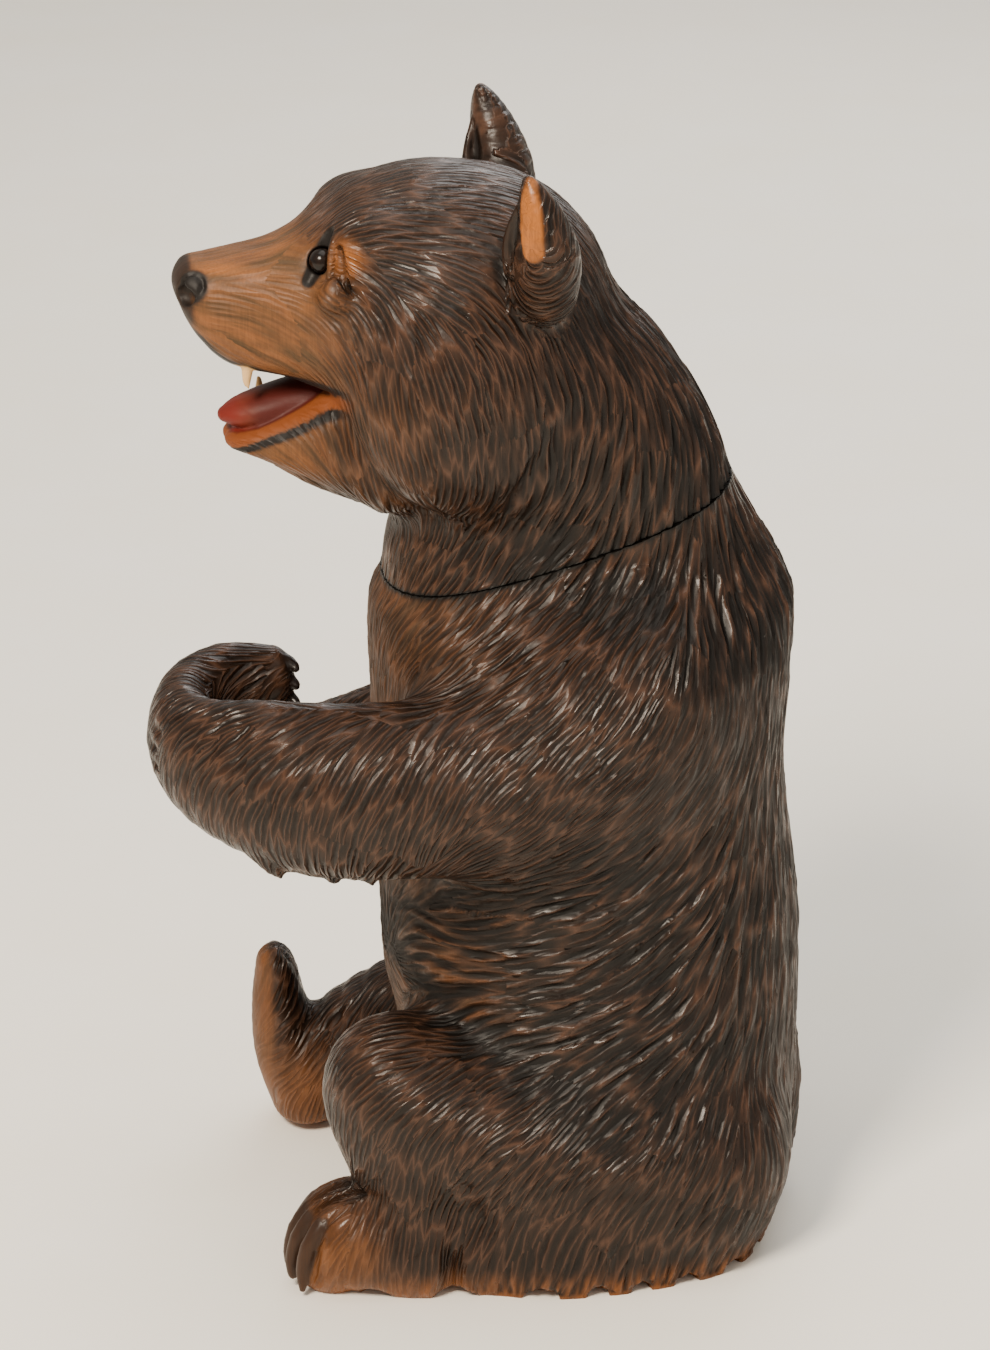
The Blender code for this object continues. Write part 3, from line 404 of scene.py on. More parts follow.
def mouth(points):
    """The open mouth: a wedge between lip and gum, right through, with a vault over the tongue."""
    y, z = points.T[1:]
    wedge = np.maximum(z - curve(y, LIP_LINE), curve(y, GUM_LINE) - z)
    wedge = np.maximum(wedge, y + 63)
    return join(wedge, ellipsoid(points, (0, -76, 243.0), (12.0, 16, 7.5)), 1.5)


def ear(points):
    """One upright pointed ear, round behind."""
    keys = [(37, -10.5, 276, 9.5), (40.5, -10.8, 284, 10.0), (43, -12.6, 293, 7.8),
            (44.2, -14.6, 300.5, 4.8), (44.2, -16.0, 305, 2.2)]
    return limb(points, keys, (1.1, 0.86, 1))


def ear_hollow(points):
    """The hollow in the front of the ear."""
    keys = [(36.5, -21.5, 286.5, 3.4), (37.8, -21.8, 290.5, 4.6), (41.0, -22.0, 295.5, 3.9),
            (43.2, -21.5, 301, 1.8)]
    return limb(points, keys, (1.2, 0.95, 1))


def ruff_crease(points):
    """The deep furrow that parts the cheek's ruff from the neck, from the ear down to the seam."""
    keys = [(39.5, 2, 246, 1.4), (43.5, -7.5, 237, 2.2), (41.5, -17, 221, 2.4), (33, -26.5, 204, 2.2),
            (29, -33, 193, 1.6)]
    return limb(points, keys)


def head(points):
    """Skull, brow, cheeks, muzzle, jaw, tongue and ears."""
    folded = mirrored(points)
    level = ellipsoid(points, (0, -28, 258), (41.5, 41, 39.8))
    level = join(level, ellipsoid(points, (0, -41, 280.5), (21, 18.5, 15)), 10)
    level = join(level, ellipsoid(folded, (25.5, -25, 238), (20, 31, 27)), 12)
    level = join(level, ellipsoid(folded, (17.5, -52, 284.0), (8.5, 10, 6.8)), 6)
    level = join(level, lofted(points, MUZZLE_TOP, MUZZLE_LOW, MUZZLE_HALF_WIDTH, 2.7, -100.8, -45, 3.5), 9)
    level = join(level, lofted(points, JAW_TOP, JAW_LOW, JAW_HALF_WIDTH, 2.5, -89.5, -40, 3), 2.5)
    level = cut(level, mouth(points), 1.2)
    level = join(level, limb(points, TONGUE, TONGUE_STRETCH), 0.8)
    level = cut(level, ellipsoid(folded, (24.5, -68.5, 279.5), (7.0, 4.6, 8.5), turn(x=-18, z=32)), 4)
    level = join(level, ellipsoid(folded, (23.5, -62.5, 270.8), (4.4, 4.4, 3.6)), 3)
    level = join(level, ellipsoid(points, (0, -96.5, 270), (10.5, 5.5, 5.6)), 2)
    flap = [(0, -75, 221.4, 2.8), (0, -66, 217.4, 4.0), (0, -55, 212.5, 4.0)]
    level = join(level, limb(points, flap, (2.4, 1, 1), 6), 1)
    level = cut(level, ruff_crease(folded), 3)
    level = cut(level, ellipsoid(folded, (8.6, -98.8, 268.6), (3.4, 2.2, 2.6), turn(z=40)), 1)
    level = join(level, ear(folded), 4)
    return cut(level, ear_hollow(folded), 1.6)


def left_arm(points):
    """The near forearm: straight out, then curling inwards round an open palm."""
    keys = [(38, 16, 160, 21), (45, -2, 151, 21.5), (48, -24, 145.5, 20.5), (48.5, -48, 145, 20),
            (48, -70, 146.5, 19.3), (45.5, -86, 149.5, 17.6), (38, -98.5, 151.5, 14.4), (26, -104, 154, 12),
            (13, -101, 157.5, 10.6), (5, -91, 160, 9.4), (4, -79, 160, 8.0)]
    return limb(points, keys, (0.80, 0.80, 1.22), 28)


def right_arm(points):
    """The far forearm, held lower, with the paw curling inwards too."""
    keys = [(-38, 14, 158, 21), (-45, 2, 143, 21), (-49, -14, 127, 20), (-49, -34, 117, 18.5),
            (-47, -54, 113, 16.5), (-43, -69, 113, 14.8), (-34, -80, 114, 12.8), (-22, -85, 115.5, 11.4),
            (-11, -83, 117, 10.4), (-4, -75, 117, 9.0)]
    return limb(points, keys, (0.80, 0.80, 1.2), 26)


def fringe(points):
    """Pointed locks that hang below each forearm, longest towards the elbow."""
    level = np.full(len(points), FAR)
    for k, (y, reach) in enumerate(FRINGE):
        top = 128.5 + 0.10 * max(0, -62 - y)
        lock = [(48.5, y - 2.5, top, 4.2), (49.1, y - 0.6, top - reach * 0.5, 3.0),
                (49.5, y + 1.2, top - reach, 0.8)]
        level = np.minimum(level, limb(points, lock, count=5))
        if k < FAR_FRINGE:
            y, top = y + 12, top - 24
            lock = [(-47.5, y - 2.5, top - 6, 4.0), (-48, y, top - 6 - reach * 0.4, 2.6),
                    (-48, y + 1, top - 2 - reach, 0.8)]
            level = np.minimum(level, limb(points, lock, count=5))
    return level


def fingers(points):
    """Grooves between the fingers on the outside of each curled paw."""
    level = np.full(len(points), FAR)
    for step in FINGER_STEPS:
        z = 157.5 + step
        left = [(35, -111, z - 3, 0.8), (26, -116.2, z - 1.5, 1.6), (13, -112.5, z, 1.8),
                (2, -104, z + 0.5, 1.8),
                (-6.0, -92, z + 1, 1.6)]
        level = np.minimum(level, limb(points, left, (1, 1, 0.7)))
        z = 115.5 + step
        right = [(-31, -92, z - 1, 0.8), (-22, -97, z, 1.6), (-9, -94, z, 1.8), (2, -84, z, 1.8),
                 (5.5, -75, z, 1.6)]
        level = np.minimum(level, limb(points, right, (1, 1, 0.7)))
    return level


def paw_claws(points):
    """Dark claws along the ends of the fingers."""
    level = np.full(len(points), FAR)
    for step in FINGER_STEPS[:-1]:
        z = 157.5 + step + FINGER_PITCH / 2
        left = [(2.5, -84, z + 1, 2.5), (3.5, -78, z + 1, 2.4), (6, -73.5, z, 1.8), (9.0, -72, z - 1, 0.8)]
        level = np.minimum(level, limb(points, left, count=6))
        z = 115.5 + step + FINGER_PITCH / 2
        right = [(-3, -79, z, 2.5), (-4, -73, z, 2.4), (-6.5, -68.5, z - 0.5, 1.8), (-9.5, -67, z - 1.5, 0.8)]
        level = np.minimum(level, limb(points, right, count=6))
    return level


def toes(points):
    """Grooves between the toes of the flat foot, and of the upright one, from instep to tip."""
    level = np.full(len(points), FAR)
    for step in TOE_STEPS:
        x = 42.3 + step
        back = 0.035 * step ** 2
        flat = [(x + 0.2 * step, -57, 29.5, 0.6), (x, -66 + back, 29.5, 1.7), (x, -76 + back, 24, 2.0),
                (x, -79.5 + back, 14, 1.9), (x, -80 + back, 3, 1.6)]
        level = np.minimum(level, limb(points, flat))
        x = -55.5 + 0.75 * step
        upright = [(x, -62, 43, 0.6), (x, -66.5, 50, 1.5), (x, -72.5, 56.5, 1.7), (x, -79.5, 54, 1.3)]
        level = np.minimum(level, limb(points, upright))
    return level


def toe_claws(points):
    """Long dark claws that lie down the front of the flat foot's toes."""
    level = np.full(len(points), FAR)
    for step in TOE_STEPS[:-1]:
        x = 42.3 + step + TOE_PITCH / 2
        back = 0.035 * (step + TOE_PITCH / 2) ** 2
        claw = [(x, -74.5 + back, 21.0, 1.8), (x, -78.2 + back, 15, 2.3), (x, -80.0 + back, 8, 1.9),
                (x, -80.0 + back, 2.5, 1.0)]
        level = np.minimum(level, limb(points, claw, count=7))
    return level


def haunch_crease(points):
    """Furrow between the shin and the haunch, from under the knee down to the ground."""
    keys = [(61.5, -35, 34, 0.6), (60.5, -36.5, 25, 1.8), (59, -37.5, 13, 2.4), (58, -38.5, -2, 2.4)]
    return limb(points, keys)


def hem(points):
    """Notches under the edge of the coat, all round where it meets the ground."""
    x, y, z = points.T
    around = np.arctan2(x, -y)
    waves = np.sin(HEM_LOCKS * around + 1.7 * np.sin(3 * around) + 0.8 * np.sin(7 * around + 1))
    return z - HEM_NOTCH * np.clip(waves, 0, 1) ** 0.7 + 0.4


def palm(points):
    """Open space between forearm and fingers, straight up and down, one in each paw."""
    left = limb(points, [(24, -84, 140, 9.5), (24, -84, 200, 9.5)], (1.0, 1.25, 1), 3)
    right = limb(points, [(-25, -67, 70, 9), (-25, -67, 150, 9)], (1.0, 1.15, 1), 3)
    return np.minimum(left, right)


def left_leg(points):
    """The bent leg: thigh, knee, shin and a foot flat on the ground."""
    thigh = limb(points, [(34, 30, 28, 28), (35.5, 0, 36, 29), (38.5, -28, 45, 26), (42.5, -50, 56, 18.5)])
    keys = [(43, -46, 58, 18), (43.5, -53, 59, 16.5), (43.5, -51, 40, 14.5), (43.5, -44, 22, 13.5)]
    shin = limb(points, keys)
    keys = [(43.5, -40, 10, 15), (43, -54, 12, 15.5), (42.5, -64, 14, 15.2), (42, -68, 10, 13.0)]
    foot = limb(points, keys)
    return join(join(thigh, shin, 7), foot, 4.5)


def right_leg(points):
    """The stretched leg, with its foot upright on the heel."""
    leg = limb(points, [(-34, 30, 28, 28), (-37.5, 0, 31, 26.5), (-44.5, -24, 33, 23), (-51, -44, 28, 17.5),
                        (-54, -60, 20, 13.5)])
    foot = limb(points, [(-55, -66, 10, 12.5), (-55.5, -70.5, 23, 11.8), (-55.5, -72.8, 36, 9.6),
                         (-55.5, -73.5, 48, 7.2)], (1.15, 0.82, 1))
    return join(leg, foot, 4.5)


def haunch(points):
    """The wide seat beside each thigh, down on the ground."""
    keys = [(34, 24, 12, 25), (38, -8, 12, 24), (41, -30, 10, 18), (43, -44, 8, 13)]
    return limb(mirrored(points), keys)


def tail(points):
    """A short tail that hangs down the middle of the back of the seat."""
    return limb(points, [(0, 58, 58, 4), (0, 59.5, 40, 7.5), (0, 60, 24, 8), (0, 60.5, 10, 6)])


def within(points, box, level):
    """A level worked out only inside a box, given by its low and high corners, and far outside it."""
    inside = ((points > box[0]) & (points < box[1])).all(1)
    found = np.full(len(points), FAR)
    if inside.any():
        found[inside] = level(points[inside])
    return found


def bear(points):
    """The whole figure, before its coat is cut."""
    level = trunk(points)
    level = join(level, within(points, ARMS, left_arm), 13)
    level = join(level, within(points, ARMS, right_arm), 12)
    level = cut(level, within(points, PAWS, palm), 1.5)
    level = join(level, within(points, LEGS, haunch), 8)
    level = join(level, within(points, LEGS, left_leg), 8)
    level = join(level, within(points, LEGS, right_leg), 8)
    level = join(level, within(points, TAIL, tail), 5)
    level = join(level, within(points, PAWS, fringe), 1.5)
    level = cut(level, within(points, PAWS, fingers), 1.5)
    level = join(level, within(points, PAWS, paw_claws), 0.7)
    level = cut(level, within(points, FEET, toes), 2)
    level = join(level, within(points, FEET, toe_claws), 0.7)
    level = cut(level, within(points, LEGS, haunch_crease), 4)
    level = cut(level, np.maximum(hem(points), -level - HEM_DEPTH), 0.6)
    return np.maximum(join(level, within(points, HEAD, head), 7), FOOT - points[:, 2])


def slope_of(level, points, step=0.2):
    """Level, outward normals and steepness at the points, from one step along each axis."""
    steps = np.vstack([points, points + (step, 0, 0), points + (0, step, 0), points + (0, 0, step)])
    here, *ahead = level(steps).reshape(4, -1)
    slope = np.stack([(found - here) / step for found in ahead], 1)
    steep = np.linalg.norm(slope, axis=1) + 1e-9
    return here, slope / steep[:, None], steep


def level_grid(level, low, high, cell):
    """Level on a cubic grid: first at every fourth corner, then closer and closer to the surface."""
    size = (np.ceil((high - low) / (4 * cell)) * 4).astype(int) + 1
    corners = np.stack(np.meshgrid(*[np.arange(0, n, 4) for n in size], indexing="ij"), -1)
    values = level(low + corners.reshape(-1, 3) * cell).reshape(corners.shape[:3])
    for pitch in (2, 1):
        coarse = values
        for axis in range(3):
            coarse = np.repeat(coarse, 2, axis)
        fine = tuple(slice(0, (n - 1) // pitch + 1) for n in size)
        coarse = coarse[fine]
        wanted = np.abs(coarse) < BAND * 2 * pitch * cell
        values = np.where(coarse < 0, -FAR, FAR)
        places = np.argwhere(wanted)
        values[wanted] = level(low + places * (cell * pitch))
    return values


def mended(values):
    """The grid with wood filled in wherever two parts of the surface would only just touch.

    That is where inside and outside corners cross on a square, or sit at a cell's far ends.
    """
    values = values.copy()
    for _ in range(MEND_ROUNDS):
        inside = values < 0
        fill = np.zeros(values.shape, bool)
        for axis in range(3):
            flat = np.moveaxis(inside, axis, 0)
            a, b, c, d = flat[:, :-1, :-1], flat[:, 1:, :-1], flat[:, :-1, 1:], flat[:, 1:, 1:]
            crossed = (a == d) & (b == c) & (a != b)
            spread = np.moveaxis(fill, axis, 0)
            for i in (slice(None, -1), slice(1, None)):
                for j in (slice(None, -1), slice(1, None)):
                    spread[:, i, j] |= crossed
        ends = [[slice(k, n - 1 + k) for k, n in zip(corner, values.shape)] for corner in CORNERS]
        count = sum(inside[tuple(end)].astype(int) for end in ends)
        for near, far in zip(CORNERS[:4], CORNERS[:3:-1]):
            both = inside[tuple(ends[CORNERS.index(near)])] == inside[tuple(ends[CORNERS.index(far)])]
            same = inside[tuple(ends[CORNERS.index(near)])]
            apart = both & (((count == 2) & same) | ((count == 6) & ~same))
            for end in ends:
                fill[tuple(end)] |= apart
        fill &= ~inside
        if not fill.any():
            break
        values[fill] = -MEND_SKIN
    return values


def pairs(points, places, reach):
    """Numbers of every point and place that lie within reach of each other, found through cubes."""
    low = points.min(0) - 1.5 * reach
    cubes = ((points - low) / reach).astype(int)
    size = cubes.max(0) + 3
    keys = (cubes[:, 0] * size[1] + cubes[:, 1]) * size[2] + cubes[:, 2]
    order = np.argsort(keys, kind="stable")
    keys = keys[order]
    at = ((places - low) / reach).astype(int)
    found = []
    for i in (-1, 0, 1):
        for j in (-1, 0, 1):
            column = ((at[:, 0] + i) * size[1] + at[:, 1] + j) * size[2] + at[:, 2]
            first = np.searchsorted(keys, column - 1, "left")
            number = np.searchsorted(keys, column + 1, "right") - first
            place = np.repeat(np.arange(len(places)), number)
            run = np.arange(number.sum()) - np.repeat(np.cumsum(number) - number, number)
            point = order[np.repeat(first, number) + run]
            close = ((points[point] - places[place]) ** 2).sum(1) < reach ** 2
            found.append((point[close], place[close]))
    return np.concatenate([f[0] for f in found]), np.concatenate([f[1] for f in found])


def net(values, low, cell):
    """Quads round the zero level: one point in each cell that it crosses, amid its crossings."""
    inside = values < 0
    shape = np.array(values.shape) - 1
    ends = [tuple(slice(k, n + k) for k, n in zip(corner, shape)) for corner in CORNERS]
    count = sum(inside[end].astype(np.int8) for end in ends)
    used = np.argwhere((count > 0) & (count < 8))
    numbers = np.full(shape, -1, np.int32)
    numbers[tuple(used.T)] = np.arange(len(used))
    corner = {c: values[tuple((used + c).T)] for c in CORNERS}
    hits = np.zeros(len(used))
    sums = np.zeros((len(used), 3))
    for axis in range(3):
        for near in (0, 1):
            for far in (0, 1):
                start = list((near, far))
                start.insert(axis, 0)
                end = start.copy()
                end[axis] = 1
                a, b = corner[tuple(start)], corner[tuple(end)]
                crossed = (a < 0) != (b < 0)
                spot = np.tile(np.array(start, float), (len(used), 1))
                spot[:, axis] = np.where(crossed, a / np.where(crossed, a - b, 1), 0)
                sums += spot * crossed[:, None]
                hits += crossed
    places = used + sums / hits[:, None]
    quads = []
    for axis in range(3):
        left, right = (axis + 1) % 3, (axis + 2) % 3
        inner = [slice(1, -1)] * 3
        inner[axis] = slice(0, -1)
        outer = [slice(1, -1)] * 3
        outer[axis] = slice(1, None)
        a, b = inside[tuple(inner)], inside[tuple(outer)]
        here = np.argwhere(a != b)
        inwards = ~a[tuple(here.T)]
        here += np.arange(3) != axis
        ring = []
        for back_left, back_right in ((1, 1), (0, 1), (0, 0), (1, 0)):
            cell_of = here.copy()
            cell_of[:, left] -= back_left
            cell_of[:, right] -= back_right
            ring.append(numbers[tuple(cell_of.T)])
        ring = np.stack(ring, 1)
        ring[inwards] = ring[inwards][:, ::-1]
        quads.append(ring)
    return low + places * cell, np.concatenate(quads)


def drawn(name, points, faces):
    """A mesh from an array of points, in millimetres or metres, and one of quads or triangles."""
    mesh = bpy.data.meshes.new(name)
    sides = faces.shape[1]
    mesh.vertices.add(len(points))
    mesh.vertices.foreach_set("co", np.asarray(points, np.float32).ravel())
    mesh.loops.add(faces.size)
    mesh.loops.foreach_set("vertex_index", faces.astype(np.int32).ravel())
    mesh.polygons.add(len(faces))
    mesh.polygons.foreach_set("loop_start", np.arange(0, faces.size, sides, dtype=np.int32))
    mesh.update(calc_edges=True)
    return mesh


def read(mesh):
    """Points, outward normals and faces of a mesh whose faces all have the same number of sides."""
    points = np.empty(len(mesh.vertices) * 3, np.float32)
    mesh.vertices.foreach_get("co", points)
    normals = np.empty(len(mesh.vertices) * 3, np.float32)
    mesh.vertex_normals.foreach_get("vector", normals)
    corners = np.empty(len(mesh.loops), np.int32)
    mesh.loops.foreach_get("vertex_index", corners)
    sides = len(mesh.loops) // len(mesh.polygons)
    points, normals = points.reshape(-1, 3).astype(float), normals.reshape(-1, 3).astype(float)
    return points, normals, corners.reshape(-1, sides)


def thinned(mesh, share):
    """The mesh with its triangles merged until only a share of them is left."""
    holder = bpy.data.objects.new("thinned", mesh)
    bpy.context.scene.collection.objects.link(holder)
    holder.modifiers.new("thinned", "DECIMATE").ratio = share
    found = holder.evaluated_get(bpy.context.evaluated_depsgraph_get())
    result = bpy.data.meshes.new_from_object(found)
    bpy.data.objects.remove(holder)
    bpy.data.meshes.remove(mesh)
    return result


def noted(mesh, name, domain, values):
    """One value at each point or corner, kept with the mesh as a named attribute."""
    mesh.attributes.new(name, "FLOAT", domain).data.foreach_set("value", np.asarray(values, np.float32))


def split(points, quads):
    """Every quad in four, by Catmull and Clark's rule.

    A face's new point is the mean of its corners. An edge's is the mean of its ends and of the
    points of the two faces beside it, or just its middle on an open edge. An old point moves to
    (mean of its face points + twice the mean of its edge middles + (n - 3) times itself) / n.
    """
    count = len(points)
    ends = np.stack([quads, np.roll(quads, -1, 1)], -1)
    low, high = ends.min(-1), ends.max(-1)
    keys, number = np.unique(low.astype(np.int64) * count + high, return_inverse=True)
    number = number.reshape(quads.shape)
    low, high = keys // count, keys % count
    faces = points[quads].mean(1)
    middles = (points[low] + points[high]) / 2

    def gathered(where, values, size):
        return np.stack([np.bincount(where, values[:, k], size) for k in range(3)], 1)

    beside = np.bincount(number.ravel(), minlength=len(keys))
    face_sum = gathered(number.ravel(), np.repeat(faces, 4, 0), len(keys))
    edges = np.where((beside == 2)[:, None], (2 * middles + face_sum) / 4, middles)
    n = np.bincount(quads.ravel(), minlength=count)[:, None]
    n_edges = np.bincount(np.concatenate([low, high]), minlength=count)[:, None]
    face_mean = gathered(quads.ravel(), np.repeat(faces, 4, 0), count) / n
    edge_mean = gathered(np.concatenate([low, high]), np.vstack([middles, middles]), count) / n_edges
    corners = np.where(n == n_edges, (face_mean + 2 * edge_mean + (n - 3) * points) / n, points)
    edge_at, face_at = count + number, count + len(keys) + np.arange(len(quads))
    parts = [np.stack([quads[:, k], edge_at[:, k], face_at, edge_at[:, k - 1]], 1) for k in range(4)]
    return np.vstack([corners, edges, faces]), np.concatenate(parts)


def normals_of(points, faces):
    """Outward normals of a net's points: the sum of the cross products of each face's diagonals."""
    far = faces.shape[1] // 2
    across = points[faces[:, far]] - points[faces[:, 0]]
    other = points[faces[:, -1]] - points[faces[:, 1]]
    face = np.cross(across, other)
    total = np.stack([np.bincount(faces.ravel(), np.repeat(face[:, k], faces.shape[1]), len(points))
                      for k in range(3)], 1)
    return total / (np.linalg.norm(total, axis=1)[:, None] + 1e-12)


def grown(level, low, high, cell, rounds):
    """Net of quads on the zero level, split into four as often as rounds says.

    After the first split each point slides along its normal back to the level.
    """
    points, quads = net(mended(level_grid(level, low, high, cell)), low, cell)
    here, normals, steep = slope_of(level, points)
    points = points - normals * np.clip(here / steep, -1, 1)[:, None]
    for k in range(rounds):
        points, quads = split(points, quads)
        if k == 0:
            points = points - normals_of(points, quads) * np.clip(level(points), -1, 1)[:, None]
    return points, normals_of(points, quads), quads


def chart(points, columns, rows):
    """Bilinear reading of a chart: rows of height, each with values at the columns along Y."""
    heights = np.array([row[0] for row in rows], float)
    table = np.array([row[1] for row in rows], float)
    columns = np.asarray(columns, float)
    u = np.clip(points[:, 1], columns[0], columns[-1] - 1e-6)
    v = np.clip(points[:, 2], heights[0], heights[-1] - 1e-6)
    i = np.searchsorted(heights, v, side="right") - 1
    j = np.searchsorted(columns, u, side="right") - 1
    s = (v - heights[i]) / (heights[i + 1] - heights[i])
    t = (u - columns[j]) / (columns[j + 1] - columns[j])
    low = table[i, j] * (1 - t) + table[i, j + 1] * t
    high = table[i + 1, j] * (1 - t) + table[i + 1, j + 1] * t
    return low * (1 - s) + high * s


def lie_of_coat(points, normals):
    """Unit direction of the hair: the chart's slope, with slow waves, laid flat on the surface.

    Round the smooth strip on each ear it runs in rings, and level on the side that faces the other ear.
    """
    x, y, z = points.T
    slope = np.radians(chart(points, COAT_PLACES, COAT_SLOPES))
    slope += COAT_WAVE * np.sin(0.13 * y + 0.05 * z + 0.04 * x) * np.sin(0.11 * z - 0.06 * y + 1.0)
    way = np.stack([0 * slope, -np.sin(slope), -np.cos(slope)], 1)
    ears = np.flatnonzero((z > EAR_LOW) & (np.abs(x) > EAR_INNER))
    ears = ears[ear(mirrored(points[ears])) < 1.5]
    side = np.stack([np.sign(x[ears]), 0 * ears + 1, 0 * ears + 1], 1)
    top, low = np.array(EAR_PATCH[0][:3]), np.array(EAR_PATCH[-1][:3])
    spot = points[ears] * side
    share = np.clip((spot - low) @ (top - low) / ((top - low) @ (top - low)), 0, 1)
    rings = np.cross(normals[ears], (spot - low - share[:, None] * (top - low)) * side)
    inner = normals[ears, 0] * side[:, 0] < 0
    rings[inner] = np.cross(normals[ears][inner], (0, 0, 1))
    way[ears] = rings
    way -= (way * normals).sum(1)[:, None] * normals
    return way / (np.linalg.norm(way, axis=1)[:, None] + 1e-9)


def lock_sizes(points):
    """Width, length and depth of the gouge cuts: the sizes noted at places seen from the side, mixed.

    Each note counts by a bell curve of its distance from the point.
    """
    notes = np.asarray(LOCK_NOTES, float)
    sizes = np.zeros((len(points), 3))
    total = np.full(len(points), 1e-12)
    for y, z, width, length, depth in notes:
        near = np.exp(-((points[:, 1] - y) ** 2 + (points[:, 2] - z) ** 2) / (2 * NOTE_SPREAD ** 2))
        sizes += near[:, None] * np.array([width, length, depth])
        total += near
    return (sizes / total[:, None]).T


def spread_out(points, ways, width, length, rank):
    """Which of the places keep their lock: the first by rank of all that lie too near each other.

    Nearness is measured in lock widths across the hair and in lock lengths along it.
    """
    a, b = pairs(points, points, SPACE_ALONG * length.max())
    a, b = a[a < b], b[a < b]
    away = points[b] - points[a]
    along = (away * ways[a]).sum(1)
    across = (away ** 2).sum(1) - along ** 2
    clash = (along / (SPACE_ALONG * length[a])) ** 2 + across / (SPACE_ACROSS * width[a]) ** 2 < 1
    a, b = a[clash], b[clash]
    kept = np.zeros(len(points), bool)
    free = np.ones(len(points), bool)
    while free.any():
        live = free[a] & free[b]
        a, b = a[live], b[live]
        best = np.full(len(points), len(points))
        np.minimum.at(best, a, rank[b])
        np.minimum.at(best, b, rank[a])
        first = free & (rank < best)
        kept |= first
        free &= ~first
        free[b[first[a]]] = False
        free[a[first[b]]] = False
    return kept


def lock_lines(level, begin, length, turn_by, bend, samples):
    """Each lock's line over the surface: steps along the hair, each brought back to the level."""
    place = begin
    lines, normals, ways = [], [], []
    for k in range(samples):
        here, normal, steep = slope_of(level, place)
        place = place - normal * np.clip(here / steep, -1, 1)[:, None]
        way = lie_of_coat(place, normal)
        angle = (turn_by + bend * (k / (samples - 1) - 0.5))[:, None]
        way = way * np.cos(angle) + np.cross(normal, way) * np.sin(angle)
        lines.append(place)
        normals.append(normal)
        ways.append(way)
        place = place + way * (length / (samples - 1))[:, None]
    return np.stack(lines, 1), np.stack(normals, 1), np.stack(ways, 1)


def patches(points, ways, normals, triangles):
    """The patch that each triangle belongs to, as the number of the point in the patch's middle.

    Patches are longer along the hair, and none reaches round to a side that faces another way.
    """
    seeds = np.random.default_rng(PATCH_SEED).choice(len(points), PATCH_TRIES, replace=False)
    size = np.ones(PATCH_TRIES)
    seeds = seeds[spread_out(points[seeds], ways[seeds], PATCH_WIDTH * size, PATCH_LENGTH * size,
                             np.arange(PATCH_TRIES))]
    at, way, normal = points[seeds], ways[seeds], normals[seeds]
    owner = []
    for part in np.array_split(triangles, len(triangles) // TRIANGLE_SHARE + 1):
        middle = points[part].mean(1)
        along = middle @ way.T - (at * way).sum(1)
        away = (middle ** 2).sum(1)[:, None] + (at ** 2).sum(1) - 2 * middle @ at.T
        far = (away - along ** 2) / PATCH_WIDTH ** 2 + (along / PATCH_LENGTH) ** 2
        far += PATCH_PENALTY * (normals[part[:, 0]] @ normal.T < PATCH_FACING)
        owner.append(seeds[far.argmin(1)])
    return np.concatenate(owner)


def combed(level, points, triangles):
    """Two coordinates in millimetres at every triangle's corners: across the hair and along it.

    In a patch each is the step from the patch's middle times the mean of the two directions, here
    and in the middle. Every patch starts its coordinates somewhere else.
    """
    _, normals, _ = slope_of(level, points, 0.6)
    ways = lie_of_coat(points, normals)
    owner = patches(points, ways, normals, triangles)
    away = points[triangles] - points[owner][:, None]
    found = []
    for turn, directions in enumerate((np.cross(normals, ways), ways)):
        start = np.random.default_rng(PATCH_SEED + turn).uniform(0, PATCH_START, len(points))[owner]
        mean = (directions[triangles] + directions[owner][:, None]) / 2
        found.append(((away * mean).sum(2) + start[:, None]).ravel())
    return found


def cut_locks(points, lines, normals, ways, step, width, depth):
    """Depth cut at each point: the deepest of the hollow gouges that pass it.

    A gouge's depth along it follows a sine to a power, and across it falls off as a parabola.
    """
    fall = np.zeros(len(points))
    samples = lines.shape[1]
    middles, normals, ways = lines.reshape(-1, 3), normals.reshape(-1, 3), ways.reshape(-1, 3)
    half = np.repeat(width / 2, samples)
    step = np.repeat(step, samples)
    depth = np.repeat(depth, samples)
    number = np.tile(np.arange(samples), len(lines))
    for part in np.array_split(np.arange(len(middles)), len(middles) // PLACE_SHARE + 1):
        reach = math.hypot(half[part].max(), step[part].max() / 2)
        point, place = pairs(points, middles[part], reach)
        place = part[place]
        away = points[point] - middles[place]
        high = (away * normals[place]).sum(1)
        along = (away * ways[place]).sum(1)
        across = np.maximum((away ** 2).sum(1) - high ** 2 - along ** 2, 0)
        t = np.clip((number[place] + along / step[place] + 0.5) / samples, 0, 1)
        share = np.sin(math.pi * t) ** LOCK_ENDS
        sunk = depth[place] * (share - across / half[place] ** 2)
        sunk[(np.abs(high) > 0.8 * half[place] + 0.4) | (np.abs(along) > 0.55 * step[place])] = 0
        np.maximum.at(fall, point, sunk)
    return fall


